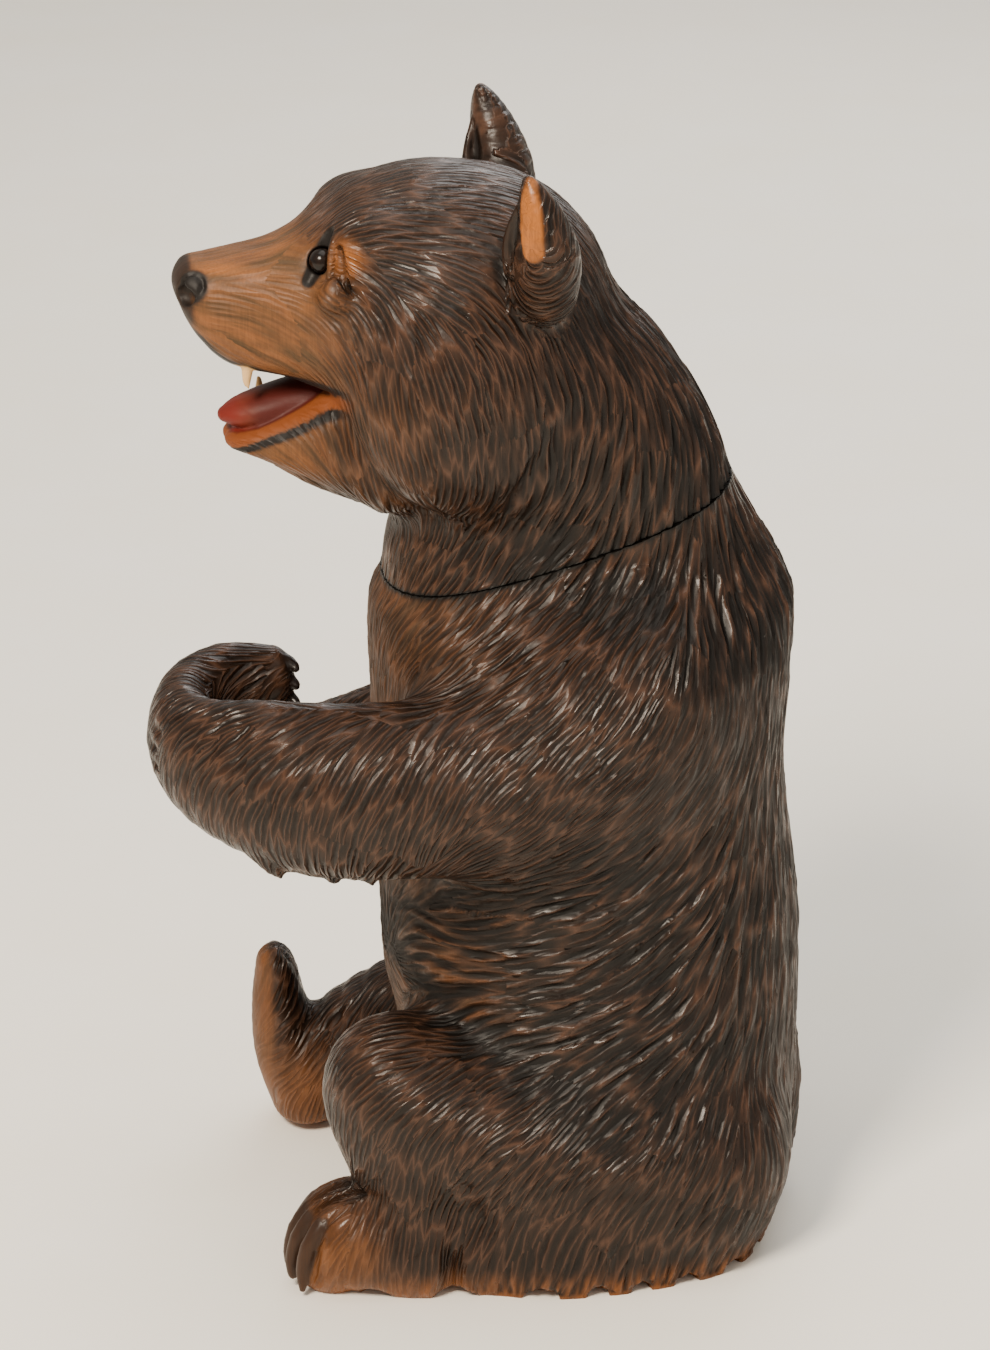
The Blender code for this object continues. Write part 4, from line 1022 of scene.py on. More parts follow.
def carved(level, low, high, cell, rounds, keep, seed):
    """The net of one wooden piece with its coat cut in, and how far each point was cut.

    Long, middling and short locks are laid out one kind after another, then cut together.
    """
    points, normals, quads = grown(level, low, high, cell, rounds)
    share = coat_share(points)
    width, length, depth = lock_sizes(points)
    area = (cell / 2 ** rounds) ** 2
    random = np.random.default_rng(seed)
    fall = np.zeros(len(points))
    wanted = (share > 0.4) & keep(points)
    for shortest, longest, samples in LOCK_KINDS:
        kind = wanted & (length >= shortest) & (length < longest)
        chance = TRIES * area / (SPACE_ACROSS * width * SPACE_ALONG * length)
        places = np.flatnonzero(kind & (random.random(len(points)) < chance))
        if not len(places):
            continue
        ways = lie_of_coat(points[places], normals[places])
        rank = random.permutation(len(places))
        kept = spread_out(points[places], ways, width[places], length[places], rank)
        places = places[kept]
        count = len(places)
        reach = length[places] * random.uniform(0.75, 1.3, count)
        wide = width[places] * random.uniform(0.8, 1.25, count)
        deep = depth[places] * random.uniform(0.7, 1.15, count)
        deep *= 0.5 + 0.5 * smooth(width[places], FINE_LOCK, BROAD_LOCK)
        turn_by = random.normal(0, LOCK_TURN, count)
        bend = random.normal(0, LOCK_BEND, count)
        lines, line_normals, line_ways = lock_lines(level, points[places], reach, turn_by, bend, samples)
        step = reach / (samples - 1)
        fall = np.maximum(fall, cut_locks(points, lines, line_normals, line_ways, step, wide, deep))
    cut_share = np.clip(fall / np.maximum(depth, STAIN_DEPTH), 0, 1) * share
    return points - normals * (fall * share)[:, None], quads, cut_share


def smooth(values, low, high):
    """0 below low and 1 above high, with an S curve between; the other way round if low is higher."""
    t = np.clip((values - low) / (high - low), 0, 1)
    return t * t * (3 - 2 * t)


def canines(points):
    """Level of the canine teeth, cones with round tips: two above and, on the bear's right, one below."""
    level = np.full(len(points), FAR)
    for root, tip in TEETH:
        level = np.minimum(level, limb(points, [(*root, TOOTH_ROOT), (*tip, TOOTH_TIP)], count=3))
    return level


def eyeballs(points):
    """Distance from the two glass eyes."""
    return np.linalg.norm(mirrored(points) - EYE_PLACE, axis=1) - EYE_RADIUS


def tongue_paint(points):
    """Level of the paint on the tongue, which lies along the lower jaw and just over its tip."""
    return limb(points, TONGUE_PAINT, TONGUE_STRETCH)


def almond(folded):
    """The long hollow that an eye lies in, from under the brow down to the muzzle."""
    return limb(folded, EYE_HOLLOW)


def ear_patch(folded):
    """The smooth strip down the front of an ear."""
    return limb(folded, EAR_PATCH)


def nostril(folded):
    """Distance from the ring cut round a nostril's dome."""
    return np.abs(np.linalg.norm(folded - NOSTRIL, axis=1) - NOSTRIL_RING) - 0.55


def face_carving(level, points):
    """The cuts round eyes, ears and nostrils that are finer than the solids show.

    Behind each eye's hollow stands the lid's fold, then a furrow, and below it a round swelling.
    In front of each ear's hollow stands its thin fore rim.
    """
    folded = mirrored(points)
    level = join(level, ellipsoid(folded, (24.2, -61.9, 272.8), (3.9, 3.9, 3.7)), 0.8)
    level = cut(level, almond(folded), 0.8)
    level = join(level, limb(folded, EYE_FOLD), 0.5)
    level = cut(level, limb(folded, EYE_FURROW), 0.6)
    level = join(join(level, limb(folded, EAR_WEB), 0.5), limb(folded, EAR_RIM), 0.8)
    return cut(level, nostril(folded), 0.5)


def finished_part(points):
    """The whole figure as in the solids, with the teeth, the face's fine cuts and the eyes' sockets."""
    level = bear(points)
    fine = ((points > FACE[0]) & (points < FACE[1])).all(1)
    if fine.any():
        level[fine] = face_carving(level[fine], points[fine])
        level[fine] = np.minimum(level[fine], canines(points[fine]))
        level[fine] = cut(level[fine], eyeballs(points[fine]) - SOCKET_GAP, 0.3)
    return level


def finished_bear(points):
    """The finished level, worked out on all of the machine's cores, a share of the points at a time."""
    with ThreadPoolExecutor() as pool:
        shares = np.array_split(points, len(points) // POINT_SHARE + 1)
        return np.concatenate(list(pool.map(finished_part, shares)))


def sole(points):
    """Where the smooth sole of the upright foot is, from 0 to 1."""
    x, y, z = points.T
    return smooth(-x, 34, 37) * smooth(-y, SOLE - 3, SOLE) * smooth(z, 70, 66)


def coat_share(points):
    """Share of the gouge cuts at each point: none on claws, nose, mouth, eyes and ear hollows."""
    folded = mirrored(points)
    share = smooth(np.minimum(paw_claws(points), toe_claws(points)), 0.3, 1.2)
    share *= smooth(mouth(points), 1.0, 2.4) * smooth(canines(points), 0.2, 1.0)
    share *= smooth(eyeballs(points), 1.0, 3.5) * smooth(ear_hollow(folded), 0.0, 1.0)
    share *= smooth(almond(folded), 0.2, 1.2) * smooth(ear_patch(folded), 0.0, 1.2)
    share *= smooth(np.linalg.norm(folded - NOSTRIL, axis=1), 4.5, 6.5)
    share *= 1 - 0.6 * sole(points)
    share *= np.where(points[:, 2] > 255, smooth(points[:, 1], NOSE_Y, NOSE_Y + 3), 1)
    return share * smooth(points[:, 2], -0.5, 1.5)


def above_seam(points):
    """Height over the plane of the saw cut at the neck, in millimetres."""
    return points[:, 2] - SEAM_Z - SEAM_RISE * (points[:, 1] - SEAM_Y)


def ring(form, radius, height):
    """A circle of new corners round the well's axis, on the plane that height gives."""
    angles = np.arange(BORE_SIDES) * 2 * math.pi / BORE_SIDES
    corners = np.stack([radius * np.cos(angles), radius * np.sin(angles), 0 * angles], 1)
    corners[:, 2] = height(corners)
    return [form.verts.new(corner) for corner in in_metres(corners)]


def sawn(form, point, normal):
    """Everything beyond a plane taken off; gives the edges of the cut."""
    whole = form.verts[:] + form.edges[:] + form.faces[:]
    done = bmesh.ops.bisect_plane(form, geom=whole, dist=1e-7, plane_co=in_metres([point])[0],
                                  plane_no=normal, clear_outer=True)
    return [part for part in done["geom_cut"] if isinstance(part, bmesh.types.BMEdge)]


def filled(form, edges, normal):
    """The flat face inside closed lines of edges, as triangles that look along the normal."""
    made = bmesh.ops.triangle_fill(form, edges=edges, use_beauty=True, normal=normal)
    for face in made["geom"]:
        if isinstance(face, bmesh.types.BMFace):
            face.normal_update()
            if face.normal.dot(normal) < 0:
                face.normal_flip()
    for edge in edges:
        edge.smooth = False


def bored(form, rim, normal, radius, height, depth):
    """The sawn face filled round a circle, and a wall and a flat end from that circle to depth."""
    mouth_ring = ring(form, radius, height)
    end_ring = ring(form, radius, lambda corners: 0 * corners[:, 2] + depth)
    turns = list(zip(mouth_ring, mouth_ring[1:] + mouth_ring[:1]))
    circle = [form.edges.new(pair) for pair in turns]
    filled(form, rim + circle, normal)
    well = normal.z > 0
    for k in range(BORE_SIDES):
        n = (k + 1) % BORE_SIDES
        corners = (mouth_ring[n], mouth_ring[k], end_ring[k], end_ring[n])
        form.faces.new(corners[::-1] if well else corners)
    form.faces.new(end_ring if well else end_ring[::-1])


def in_metres(points):
    """The figure's millimetres to the frame's metres."""
    return (np.asarray(points, float) + SHIFT) * MM


def in_figure(points):
    """The frame's metres to the figure's millimetres."""
    return points / MM - SHIFT


def piece_mesh(name, low, high, cell, beyond, faces, seed):
    """One wooden piece, carved, with its points beyond the seam left out and its net thinned."""
    rounds = 2
    points, quads, cut_share = carved(finished_bear, low, high, cell, rounds, beyond, seed)
    spare = beyond(points)
    quads = quads[spare[quads].any(1)]
    used = np.zeros(len(points), bool)
    used[quads] = True
    numbers = np.cumsum(used) - 1
    mesh = drawn(name, in_metres(points[used]), numbers[quads])
    noted(mesh, "cut", "POINT", cut_share[used])
    return thinned(mesh, min(1.0, faces / (2 * len(quads))))


def body_mesh(faces):
    """The body: carved, sawn at the ground and at the neck, with the well bored down into it."""
    seam = Vector((0, -SEAM_RISE, 1)).normalized()
    mesh = piece_mesh("bear_body", BODY_LOW, BODY_HIGH, BODY_CELL,
                      lambda points: above_seam(points) < 2.5, faces, 3)
    form = bmesh.new()
    form.from_mesh(mesh)
    ground = sawn(form, (0, 0, 0), Vector((0, 0, -1)))
    filled(form, ground, Vector((0, 0, -1)))
    rim = sawn(form, (0, SEAM_Y, SEAM_Z), seam)
    bored(form, rim, seam, WELL_RADIUS, lambda c: SEAM_Z + SEAM_RISE * (c[:, 1] - SEAM_Y), WELL_FLOOR)
    return closed(form, mesh)


def head_mesh(faces):
    """The head: carved, sawn at the neck, with the turned spigot below it."""
    seam = Vector((0, -SEAM_RISE, 1)).normalized()
    mesh = piece_mesh("bear_head", HEAD_LOW, HEAD_HIGH, HEAD_CELL,
                      lambda points: above_seam(points) > -2.5, faces, 5)
    form = bmesh.new()
    form.from_mesh(mesh)
    lift = SEAM_Z + SEAM_GAP / seam.z
    rim = sawn(form, (0, SEAM_Y, lift), -seam)
    lowest = SEAM_Z + SEAM_RISE * (-SPIGOT_RADIUS - SEAM_Y) - SPIGOT_DEPTH
    bored(form, rim, -seam, SPIGOT_RADIUS, lambda c: lift + SEAM_RISE * (c[:, 1] - SEAM_Y), lowest)
    return closed(form, mesh)


def unfolded(form):
    """Faces that fold onto each other, or share an edge with too many, taken out and the holes closed."""
    for _ in range(REPAIRS):
        wrong = [edge for edge in form.edges if not edge.is_contiguous]
        if not wrong:
            return
        faces = list({face for edge in wrong for face in edge.link_faces})
        bmesh.ops.delete(form, geom=faces, context="FACES_ONLY")
        loose = [edge for edge in form.edges if not edge.link_faces]
        bmesh.ops.delete(form, geom=loose, context="EDGES")
        loose = [corner for corner in form.verts if not corner.link_edges]
        bmesh.ops.delete(form, geom=loose, context="VERTS")
        rims = [edge for edge in form.edges if edge.is_boundary]
        made = bmesh.ops.holes_fill(form, edges=rims, sides=0)["faces"]
        for face in made:
            if not all(edge.is_contiguous for edge in face.edges):
                face.normal_flip()
        bmesh.ops.triangulate(form, faces=made)


def closed(form, mesh):
    """The form back in its mesh, as triangles, once it is known to have no open edge."""
    bmesh.ops.triangulate(form, faces=form.faces[:])
    unfolded(form)
    open_edges = sum(not edge.is_contiguous for edge in form.edges)
    if open_edges:
        raise RuntimeError(f"{mesh.name} has {open_edges} open edges")
    form.to_mesh(mesh)
    form.free()
    mesh.shade_smooth()
    return mesh


def masks(points, normals):
    """Where each colour of the finish lies, from 0 to 1 at each point, as named point attributes. Some lay in
    painted light: black as painted shade in the eye and ear hollows and the furrow, dark red as painted shade
    inside the mouth and on the back of the tongue, and a painted highlight on the muzzle's top edge.
    """
    y, z = points.T[1:]
    folded = mirrored(points)
    head_side = smooth(above_seam(points), -1, 1)
    face = smooth(-y, 50, 74) * head_side
    low_face = smooth(-y, 30, 58) * smooth(z, 262, 238) * head_side
    crown = smooth(z, 276, 287) * smooth(-y, 76, 62)
    gold = np.maximum(face * (1 - 0.75 * crown), 0.35 * low_face)
    feet = smooth(-y, 52, 66) * smooth(z, 34, 12) * (1 - head_side)
    bare_sole = sole(points)
    belly = smooth(-normals[:, 1], 0.2, 0.8) * smooth(z, 40, 60) * smooth(-y, 66, 52) * (1 - head_side)
    gold = np.maximum.reduce([gold, 0.45 * belly, 0.62 * bare_sole, 0.42 * feet])
    rims = smooth(ear_patch(folded), 1.0, -0.2) * smooth(z, 276, 280)
    hem_edge = smooth(z, 10, 1)
    brow = smooth(np.linalg.norm(folded - BROW_EDGE, axis=1), 7, 2)
    # A lighter orange band along the muzzle's top edge: rubbed wood and a painted highlight where light
    # catches the edge.
    muzzle_edge_wear_and_highlight = smooth(np.abs(z - NOSE_RIM_Z), 1.7, 0.4) * smooth(-y, 74, 92) * smooth(folded[:, 0], 6, 9)
    worn = np.maximum.reduce([rims, 0.25 * feet, 0.1 * bare_sole, 0.5 * hem_edge, 0.8 * brow,
                              0.6 * muzzle_edge_wear_and_highlight])
    gap = mouth(points)
    in_mouth = smooth(gap, 0.9, 0.3) * smooth(-y, 60, 63)
    upper = curve(y, LIP_LINE) - z
    lower = z - curve(y, GUM_LINE)
    mouth_side = smooth(-y, 58, 62) * head_side
    lips = smooth(np.abs(upper + 1.3), 2.0, 1.2) * mouth_side
    lips = np.maximum(lips, smooth(np.abs(lower + 4.4), 1.7, 0.9) * mouth_side)
    corner = smooth(np.linalg.norm(folded - MOUTH_CORNER, axis=1), 6, 2.5)
    nose = smooth(np.linalg.norm(folded - NOSTRIL, axis=1), 5.4, 4.0)
    nose = np.maximum(nose, 0.9 * smooth(-y, 96.6, 98.2) * smooth(z, 260, 262)) * head_side
    claws = 0.75 * smooth(np.minimum(paw_claws(points), toe_claws(points)), 1.0, 0.5) * (1 - head_side)
    # Painted shade: the eyes' hollows, the ear hollows and the furrow behind each eye are painted black where
    # shade falls in them.
    sockets = np.maximum(smooth(eyeballs(points), 1.0, 0.4), smooth(almond(folded), 0.9, 0.2))
    ear_hollow_shade = 0.9 * smooth(ear_hollow(folded), 1.6, 0.4) * smooth(limb(folded, EAR_RIM), 0.2, 0.8)
    furrow = 0.6 * smooth(limb(folded, EYE_FURROW), 0.6, 0.0) * smooth(z, 274, 279)
    black = np.maximum.reduce([lips, corner, nose, claws, sockets, ear_hollow_shade, furrow])
    gum = smooth(np.abs(lower + 1.1), 2.3, 1.8) * mouth_side * smooth(gap, 6, 4)
    red = smooth(tongue_paint(points), 1.4, 0.7) * mouth_side
    # Painted shade: the tongue darkens towards the back of the mouth.
    tongue_back_shade = red * smooth(-y, 88, 80)
    ivory = smooth(canines(points), 0.9, 0.4) * head_side
    for over in (gum, red, ivory):
        black = black * (1 - over)
    # Red paint inside the mouth, deepened to near black as painted shade.
    mouth_paint_and_shade = in_mouth * (upper < 4) * (1 - red) * (1 - ivory) * smooth(lower, 1.5, 3)
    gum = gum * (1 - red)
    dull = np.maximum.reduce([0.9 * gold, belly, bare_sole, gum, red, mouth_paint_and_shade])
    red = red - 0.72 * tongue_back_shade
    mouth_paint_and_shade = np.maximum(mouth_paint_and_shade, tongue_back_shade)
    return {"gold": gold, "worn": worn, "black": black, "gum": gum, "red": red, "ivory": ivory,
            "mouth_paint_and_shade": mouth_paint_and_shade, "dull": dull}


def closeness_for_shade(level, points, normals, reach):
    """How closed in each point is: what a step outwards along the normal falls short of its length. It sets
    where shade is painted into the finish.
    """
    return 1 - np.clip(level(points + normals * reach) / reach, 0, 1)


def paint(mesh, level):
    """Point attributes for the finish: colour masks, two sizes of hollow for painted shade, and the seam's
    dark line.
    """
    points, normals, triangles = read(mesh)
    points = in_figure(points)
    found = masks(points, normals)
    found["coat"] = coat_share(points)
    found["fine"] = smooth(lock_sizes(points)[0], 2.4, 2.2)
    found["hollow"] = closeness_for_shade(level, points, normals, HOLLOW_SHADE_REACH)
    found["crease"] = closeness_for_shade(level, points, normals, CREASE_SHADE_REACH)
    found["seam"] = smooth(np.abs(above_seam(points)), SEAM_STAIN, 0.3)
    for name, values in found.items():
        noted(mesh, name, "POINT", values)
    for name, values in zip(("across", "along"), combed(level, points, triangles)):
        noted(mesh, name, "CORNER", values)


def linear(colour):
    """A colour from its sRGB hex value, as the linear red, green, blue and alpha that nodes take."""
    parts = [int(colour[k:k + 2], 16) / 255 for k in (1, 3, 5)]
    return (*[c / 12.92 if c <= 0.04045 else ((c + 0.055) / 1.055) ** 2.4 for c in parts], 1.0)


def node(material, kind, settings=None, inputs=None):
    """One new node with its settings; an input given as a socket is linked, any other is set."""
    tree = material.node_tree
    made = tree.nodes.new(kind)
    for name, value in (settings or {}).items():
        setattr(made, name, value)
    for name, value in (inputs or {}).items():
        if isinstance(value, bpy.types.NodeSocket):
            tree.links.new(value, made.inputs[name])
        else:
            made.inputs[name].default_value = value
    return made


def blank(name):
    """An empty node material with only its output."""
    material = bpy.data.materials.new(name)
    material.use_nodes = True
    material.node_tree.nodes.clear()
    return material, node(material, "ShaderNodeOutputMaterial")


def mixed(material, share, under, over):
    """The colour over laid on the colour under by share."""
    made = node(material, "ShaderNodeMix", {"data_type": "RGBA"}, {0: share, 6: under, 7: over})
    return made.outputs[2]


def worked(material, how, first, second):
    """One sum on two values."""
    return node(material, "ShaderNodeMath", {"operation": how}, {0: first, 1: second}).outputs[0]


def times(material, first, second):
    """One value times another."""
    return worked(material, "MULTIPLY", first, second)


def read_mask(material, name):
    return node(material, "ShaderNodeAttribute", {"attribute_name": name}).outputs["Fac"]


def speckle(material, size, detail=3.0, stretch=(1, 1, 1)):
    """Noise whose grains are size millimetres across, stretched along the axes by stretch."""
    place = node(material, "ShaderNodeTexCoord").outputs["Object"]
    shrink = tuple(1 / share for share in stretch)
    place = node(material, "ShaderNodeMapping", inputs={"Vector": place, "Scale": shrink}).outputs[0]
    noise = node(material, "ShaderNodeTexNoise", inputs={
        "Vector": place, "Scale": 1 / (size * MM), "Detail": detail, "Roughness": 0.55})
    return noise.outputs[0]


def on_coat(material, width, length, sway=0.0):
    """Place on the coat, in cells of a width across the hair and a length along it, in millimetres."""
    across = worked(material, "DIVIDE", read_mask(material, "across"), width)
    across = worked(material, "ADD", across, sway)
    along = worked(material, "DIVIDE", read_mask(material, "along"), length)
    return node(material, "ShaderNodeCombineXYZ", inputs={0: across, 1: along, 2: 0.0}).outputs[0]


def strokes(material, width, length):
    """Gouge strokes that meet in sharp ridges: distance from the edge of long cells laid along the hair.

    Width and length are in millimetres; the cells' coordinates come with the mesh.
    """
    place = on_coat(material, width, length, times(material, speckle(material, 5 * width, 2), 0.8))
    kind = {"voronoi_dimensions": "2D", "feature": "DISTANCE_TO_EDGE"}
    cells = node(material, "ShaderNodeTexVoronoi", kind, {"Vector": place, "Scale": 1.0, "Randomness": 0.8})
    return cells.outputs["Distance"]


def streaks(material, width, length):
    """Noise laid along the hair, with its width and length in millimetres."""
    noise = node(material, "ShaderNodeTexNoise", {"noise_dimensions": "2D"}, {
        "Vector": on_coat(material, width, length), "Scale": 1.0, "Detail": 3.0, "Roughness": 0.6})
    return noise.outputs[0]


def ramped(material, value, low, high, bottom=0.0, top=1.0):
    """A value brought from low..high to bottom..top, held at both ends."""
    ends = {0: value, 1: low, 2: high, 3: bottom, 4: top}
    made = node(material, "ShaderNodeMapRange", {"clamp": True}, ends)
    return made.outputs[0]


def stained_wood(colours):
    """Carved limewood under brown spirit stain and satin varnish, rubbed by a century of hands.

    The stain lies dark in every gouge cut and reddish on the ridges, the varnish glints on the ridges, and
    where hands or shelves rubbed it through, the bare wood shows orange. Light and shade are painted in too:
    the strokes' edges and the shallow ridges are painted lighter as painted highlight, and the strokes'
    middles, hollows and creases darker as painted shade.
    """
    material, output = blank("varnished_carved_limewood")
    cut_share = read_mask(material, "cut")
    fine, coarse = strokes(material, 1.6, 15), strokes(material, 2.5, 22)
    stroke = {0: read_mask(material, "fine"), 2: coarse, 3: fine}
    stroke = node(material, "ShaderNodeMix", inputs=stroke).outputs[0]
    coat = times(material, read_mask(material, "coat"),
                  ramped(material, read_mask(material, "gold"), 0.4, 1.0, 1.0, 0.5))
    # Painted highlight and wear: each stroke's sharp edge, the crest, is painted lighter both as rubbed wood
    # and as light catching it.
    crest = times(material, ramped(material, stroke, 0.0, 0.13, 1.0, 0.0), coat)
    # The bed, each stroke's middle, is the part painted darker as stain and as painted shade.
    bed_stain_and_shade = times(material, ramped(material, stroke, 0.06, 0.34, 0.0, 1.0), coat)
    patches = speckle(material, 22, 4)
    clouds = streaks(material, 4, 24)
    fibres = speckle(material, 0.55, 3, (1, 1, 14))
    # Shallow places of the carved net are painted lighter too, both as rubbed ridges and as painted
    # highlight.
    ridge_wear_and_light = ramped(material, cut_share, 0.10, 0.75, 1.0, 0.0)
    ridge_wear_and_light = times(material, ridge_wear_and_light, ramped(material, patches, 0.36, 0.62, 0.35, 1.0))
    warmth = ramped(material, clouds, 0.35, 0.68)
    base = mixed(material, warmth, linear(colours.stain), linear(colours.stain_warm))
    lit = worked(material, "MAXIMUM", times(material, crest, 0.65),
                 times(material, times(material, ridge_wear_and_light, coat), 0.35))
    base = mixed(material, lit, base, linear(colours.ridge_wear_and_light))
    gold = mixed(material, ramped(material, clouds, 0.35, 0.7), linear(colours.gold), linear(colours.olive))
    in_cuts = ramped(material, cut_share, 0.35, 0.95, 0.0, 0.7)
    gold = mixed(material, in_cuts, gold, linear(colours.stain_warm))
    share = times(material, read_mask(material, "gold"), ramped(material, patches, 0.3, 0.55, 0.75, 1.0))
    base = mixed(material, share, base, gold)
    # Stain gathered in the deeper cuts, in the colour that also paints shade.
    groove_stain_and_shade = ramped(material, cut_share, 0.50, 0.98, 0.0, 0.85)
    base = mixed(material, groove_stain_and_shade, base, linear(colours.groove_stain_and_shade))
    # Painted shade and stain: each stroke's bed is darkened both as stain lying there and as shade in the
    # hollow of the cut.
    base = mixed(material, times(material, bed_stain_and_shade, ramped(material, share, 0.2, 1.0, 0.75, 0.3)), base,
                 linear(colours.groove_stain_and_shade))
    # Painted shade: closed-in hollows and creases are darkened towards the groove colour, as shade falls
    # there.
    hollow = ramped(material, read_mask(material, "hollow"), 0.35, 0.95, 0.0, 0.75)
    base = mixed(material, hollow, base, linear(colours.groove_stain_and_shade))
    crease = ramped(material, read_mask(material, "crease"), 0.30, 0.9, 0.0, 0.8)
    base = mixed(material, crease, base, linear(colours.groove_stain_and_shade))
    rubbed = times(material, read_mask(material, "worn"), ramped(material, clouds, 0.38, 0.58, 0.65, 1.0))
    rubbed = times(material, rubbed, ramped(material, cut_share, 0.3, 0.8, 1.0, 0.1))
    base = mixed(material, rubbed, base, linear(colours.worn))
    streak = ramped(material, fibres, 0.35, 0.65, 0.0, 0.22)
    base = mixed(material, streak, base, linear(colours.groove_stain_and_shade))
    for name, colour in (("mouth_paint_and_shade", colours.mouth_paint_and_shade), ("black", colours.black), ("gum", colours.gum),
                         ("red", colours.tongue), ("ivory", colours.ivory)):
        base = mixed(material, read_mask(material, name), base, linear(colour))
    base = mixed(material, read_mask(material, "seam"), base, linear(colours.groove_stain_and_shade))
    rough = ramped(material, cut_share, 0.2, 0.9, 0.30, 0.48)
    rough = worked(material, "ADD", rough, ramped(material, clouds, 0.3, 0.7, -0.05, 0.09))
    rough = worked(material, "SUBTRACT", rough, times(material, crest, 0.08))
    matt = worked(material, "MAXIMUM", read_mask(material, "dull"), hollow)
    rough = worked(material, "ADD", rough, times(material, matt, 0.24))
    height = worked(material, "ADD", times(material, fibres, 0.5), speckle(material, 1.4, 3))
    grain = node(material, "ShaderNodeBump", inputs={
        "Height": height, "Strength": 0.35, "Distance": 0.12 * MM})
    bump = node(material, "ShaderNodeBump", inputs={
        "Height": times(material, ramped(material, stroke, 0.0, 0.45, 1.0, 0.0), coat),
        "Strength": 1.0, "Distance": 0.46 * MM, "Normal": grain.outputs[0]})
    shader = node(material, "ShaderNodeBsdfPrincipled", inputs={
        "Base Color": base, "Roughness": rough, "Normal": bump.outputs[0], "IOR": 1.45,
        "Specular IOR Level": 0.3})
    material.node_tree.links.new(shader.outputs[0], output.inputs["Surface"])
    return material


def eye_glass(colours):
    """Dark brown glass bead, fire polished: nearly black, with a sharp small light in it."""
    material, output = blank("fire_polished_dark_glass")
    depth = ramped(material, speckle(material, 3, 2), 0.35, 0.65)
    tint = mixed(material, depth, linear(colours.glass), linear(colours.glass_light))
    shader = node(material, "ShaderNodeBsdfPrincipled", inputs={
        "Base Color": tint, "Roughness": 0.2, "IOR": 1.5, "Specular IOR Level": 0.25})
    material.node_tree.links.new(shader.outputs[0], output.inputs["Surface"])
    return material


def pale_board(colour):
    """Matt painted board under the jar: one pale colour with the faintest mottle."""
    material, output = blank("matt_painted_board")
    tint = mixed(material, ramped(material, speckle(material, 60, 3), 0.3, 0.7, 0.0, 0.25), linear(colour),
                 linear("#ffffff"))
    shader = node(material, "ShaderNodeBsdfPrincipled", inputs={"Base Color": tint, "Roughness": 0.7})
    material.node_tree.links.new(shader.outputs[0], output.inputs["Surface"])
    return material


def shown(name, mesh, material, body, slot, *nodes):
    """A finished piece in the scene: it rides on its body and stands for its nodes."""
    piece = bpy.data.objects.new(name, mesh)
    bpy.context.scene.collection.objects.link(piece)
    mesh.materials.clear()
    mesh.materials.append(material)
    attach(piece, body)
    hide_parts(*nodes)
    return piece


def bead(centre, radius, flat):
    """Glass bead: rings of points by two angles, pole to pole, a little flatter front to back.

    The poles lie on X, so that the smooth middle of the net looks out of the head.
    """
    rows, columns = 32, 64
    over = np.linspace(0, math.pi, rows + 1)[1:-1]
    round_ = np.arange(columns) * 2 * math.pi / columns
    along, turn_by = np.meshgrid(over, round_, indexing="ij")
    points = np.stack([flat * np.cos(along), np.sin(along) * np.cos(turn_by),
                       np.sin(along) * np.sin(turn_by)], -1)
    points = np.vstack([points.reshape(-1, 3), [(flat, 0, 0), (-flat, 0, 0)]]) * radius + centre
    k = np.arange((rows - 2) * columns)
    after = k - k % columns + (k % columns + 1) % columns
    sides = np.stack([k, k + columns, after + columns, after], 1)
    tops = np.arange(columns)
    first = np.stack([np.full(columns, len(points) - 2), tops, (tops + 1) % columns], 1)
    last = np.stack([np.full(columns, len(points) - 1), len(points) - 2 - columns + (tops + 1) % columns,
                     len(points) - 2 - columns + tops], 1)
    triangles = np.vstack([sides[:, (0, 1, 2)], sides[:, (0, 2, 3)], first, last])
    mesh = drawn("bead", points, triangles)
    form = bmesh.new()
    form.from_mesh(mesh)
    bmesh.ops.recalc_face_normals(form, faces=form.faces[:])
    form.to_mesh(mesh)
    form.free()
    mesh.shade_smooth()
    return mesh


def aimed(thing, place, target):
    """A light or camera put at a place and turned to look at a target, both in metres."""
    thing.location = place
    thing.rotation_euler = (Vector(target) - Vector(place)).to_track_quat("-Z", "Y").to_euler()
    bpy.context.scene.collection.objects.link(thing)


def softbox(name, place, target, width, height, watts, colour):
    light = bpy.data.lights.new(name, "AREA")
    light.shape = "RECTANGLE"
    light.size = width
    light.size_y = height
    light.energy = watts
    light.color = linear(colour)[:3]
    aimed(bpy.data.objects.new(name, light), place, target)


def prop(kind, name, description, default, **more):
    return kind(name=name, description=description, default=default, **more)


def tint(name, description, default):
    description += ", as an sRGB hex value"
    return bpy.props.StringProperty(name=name, description=description, default=default)


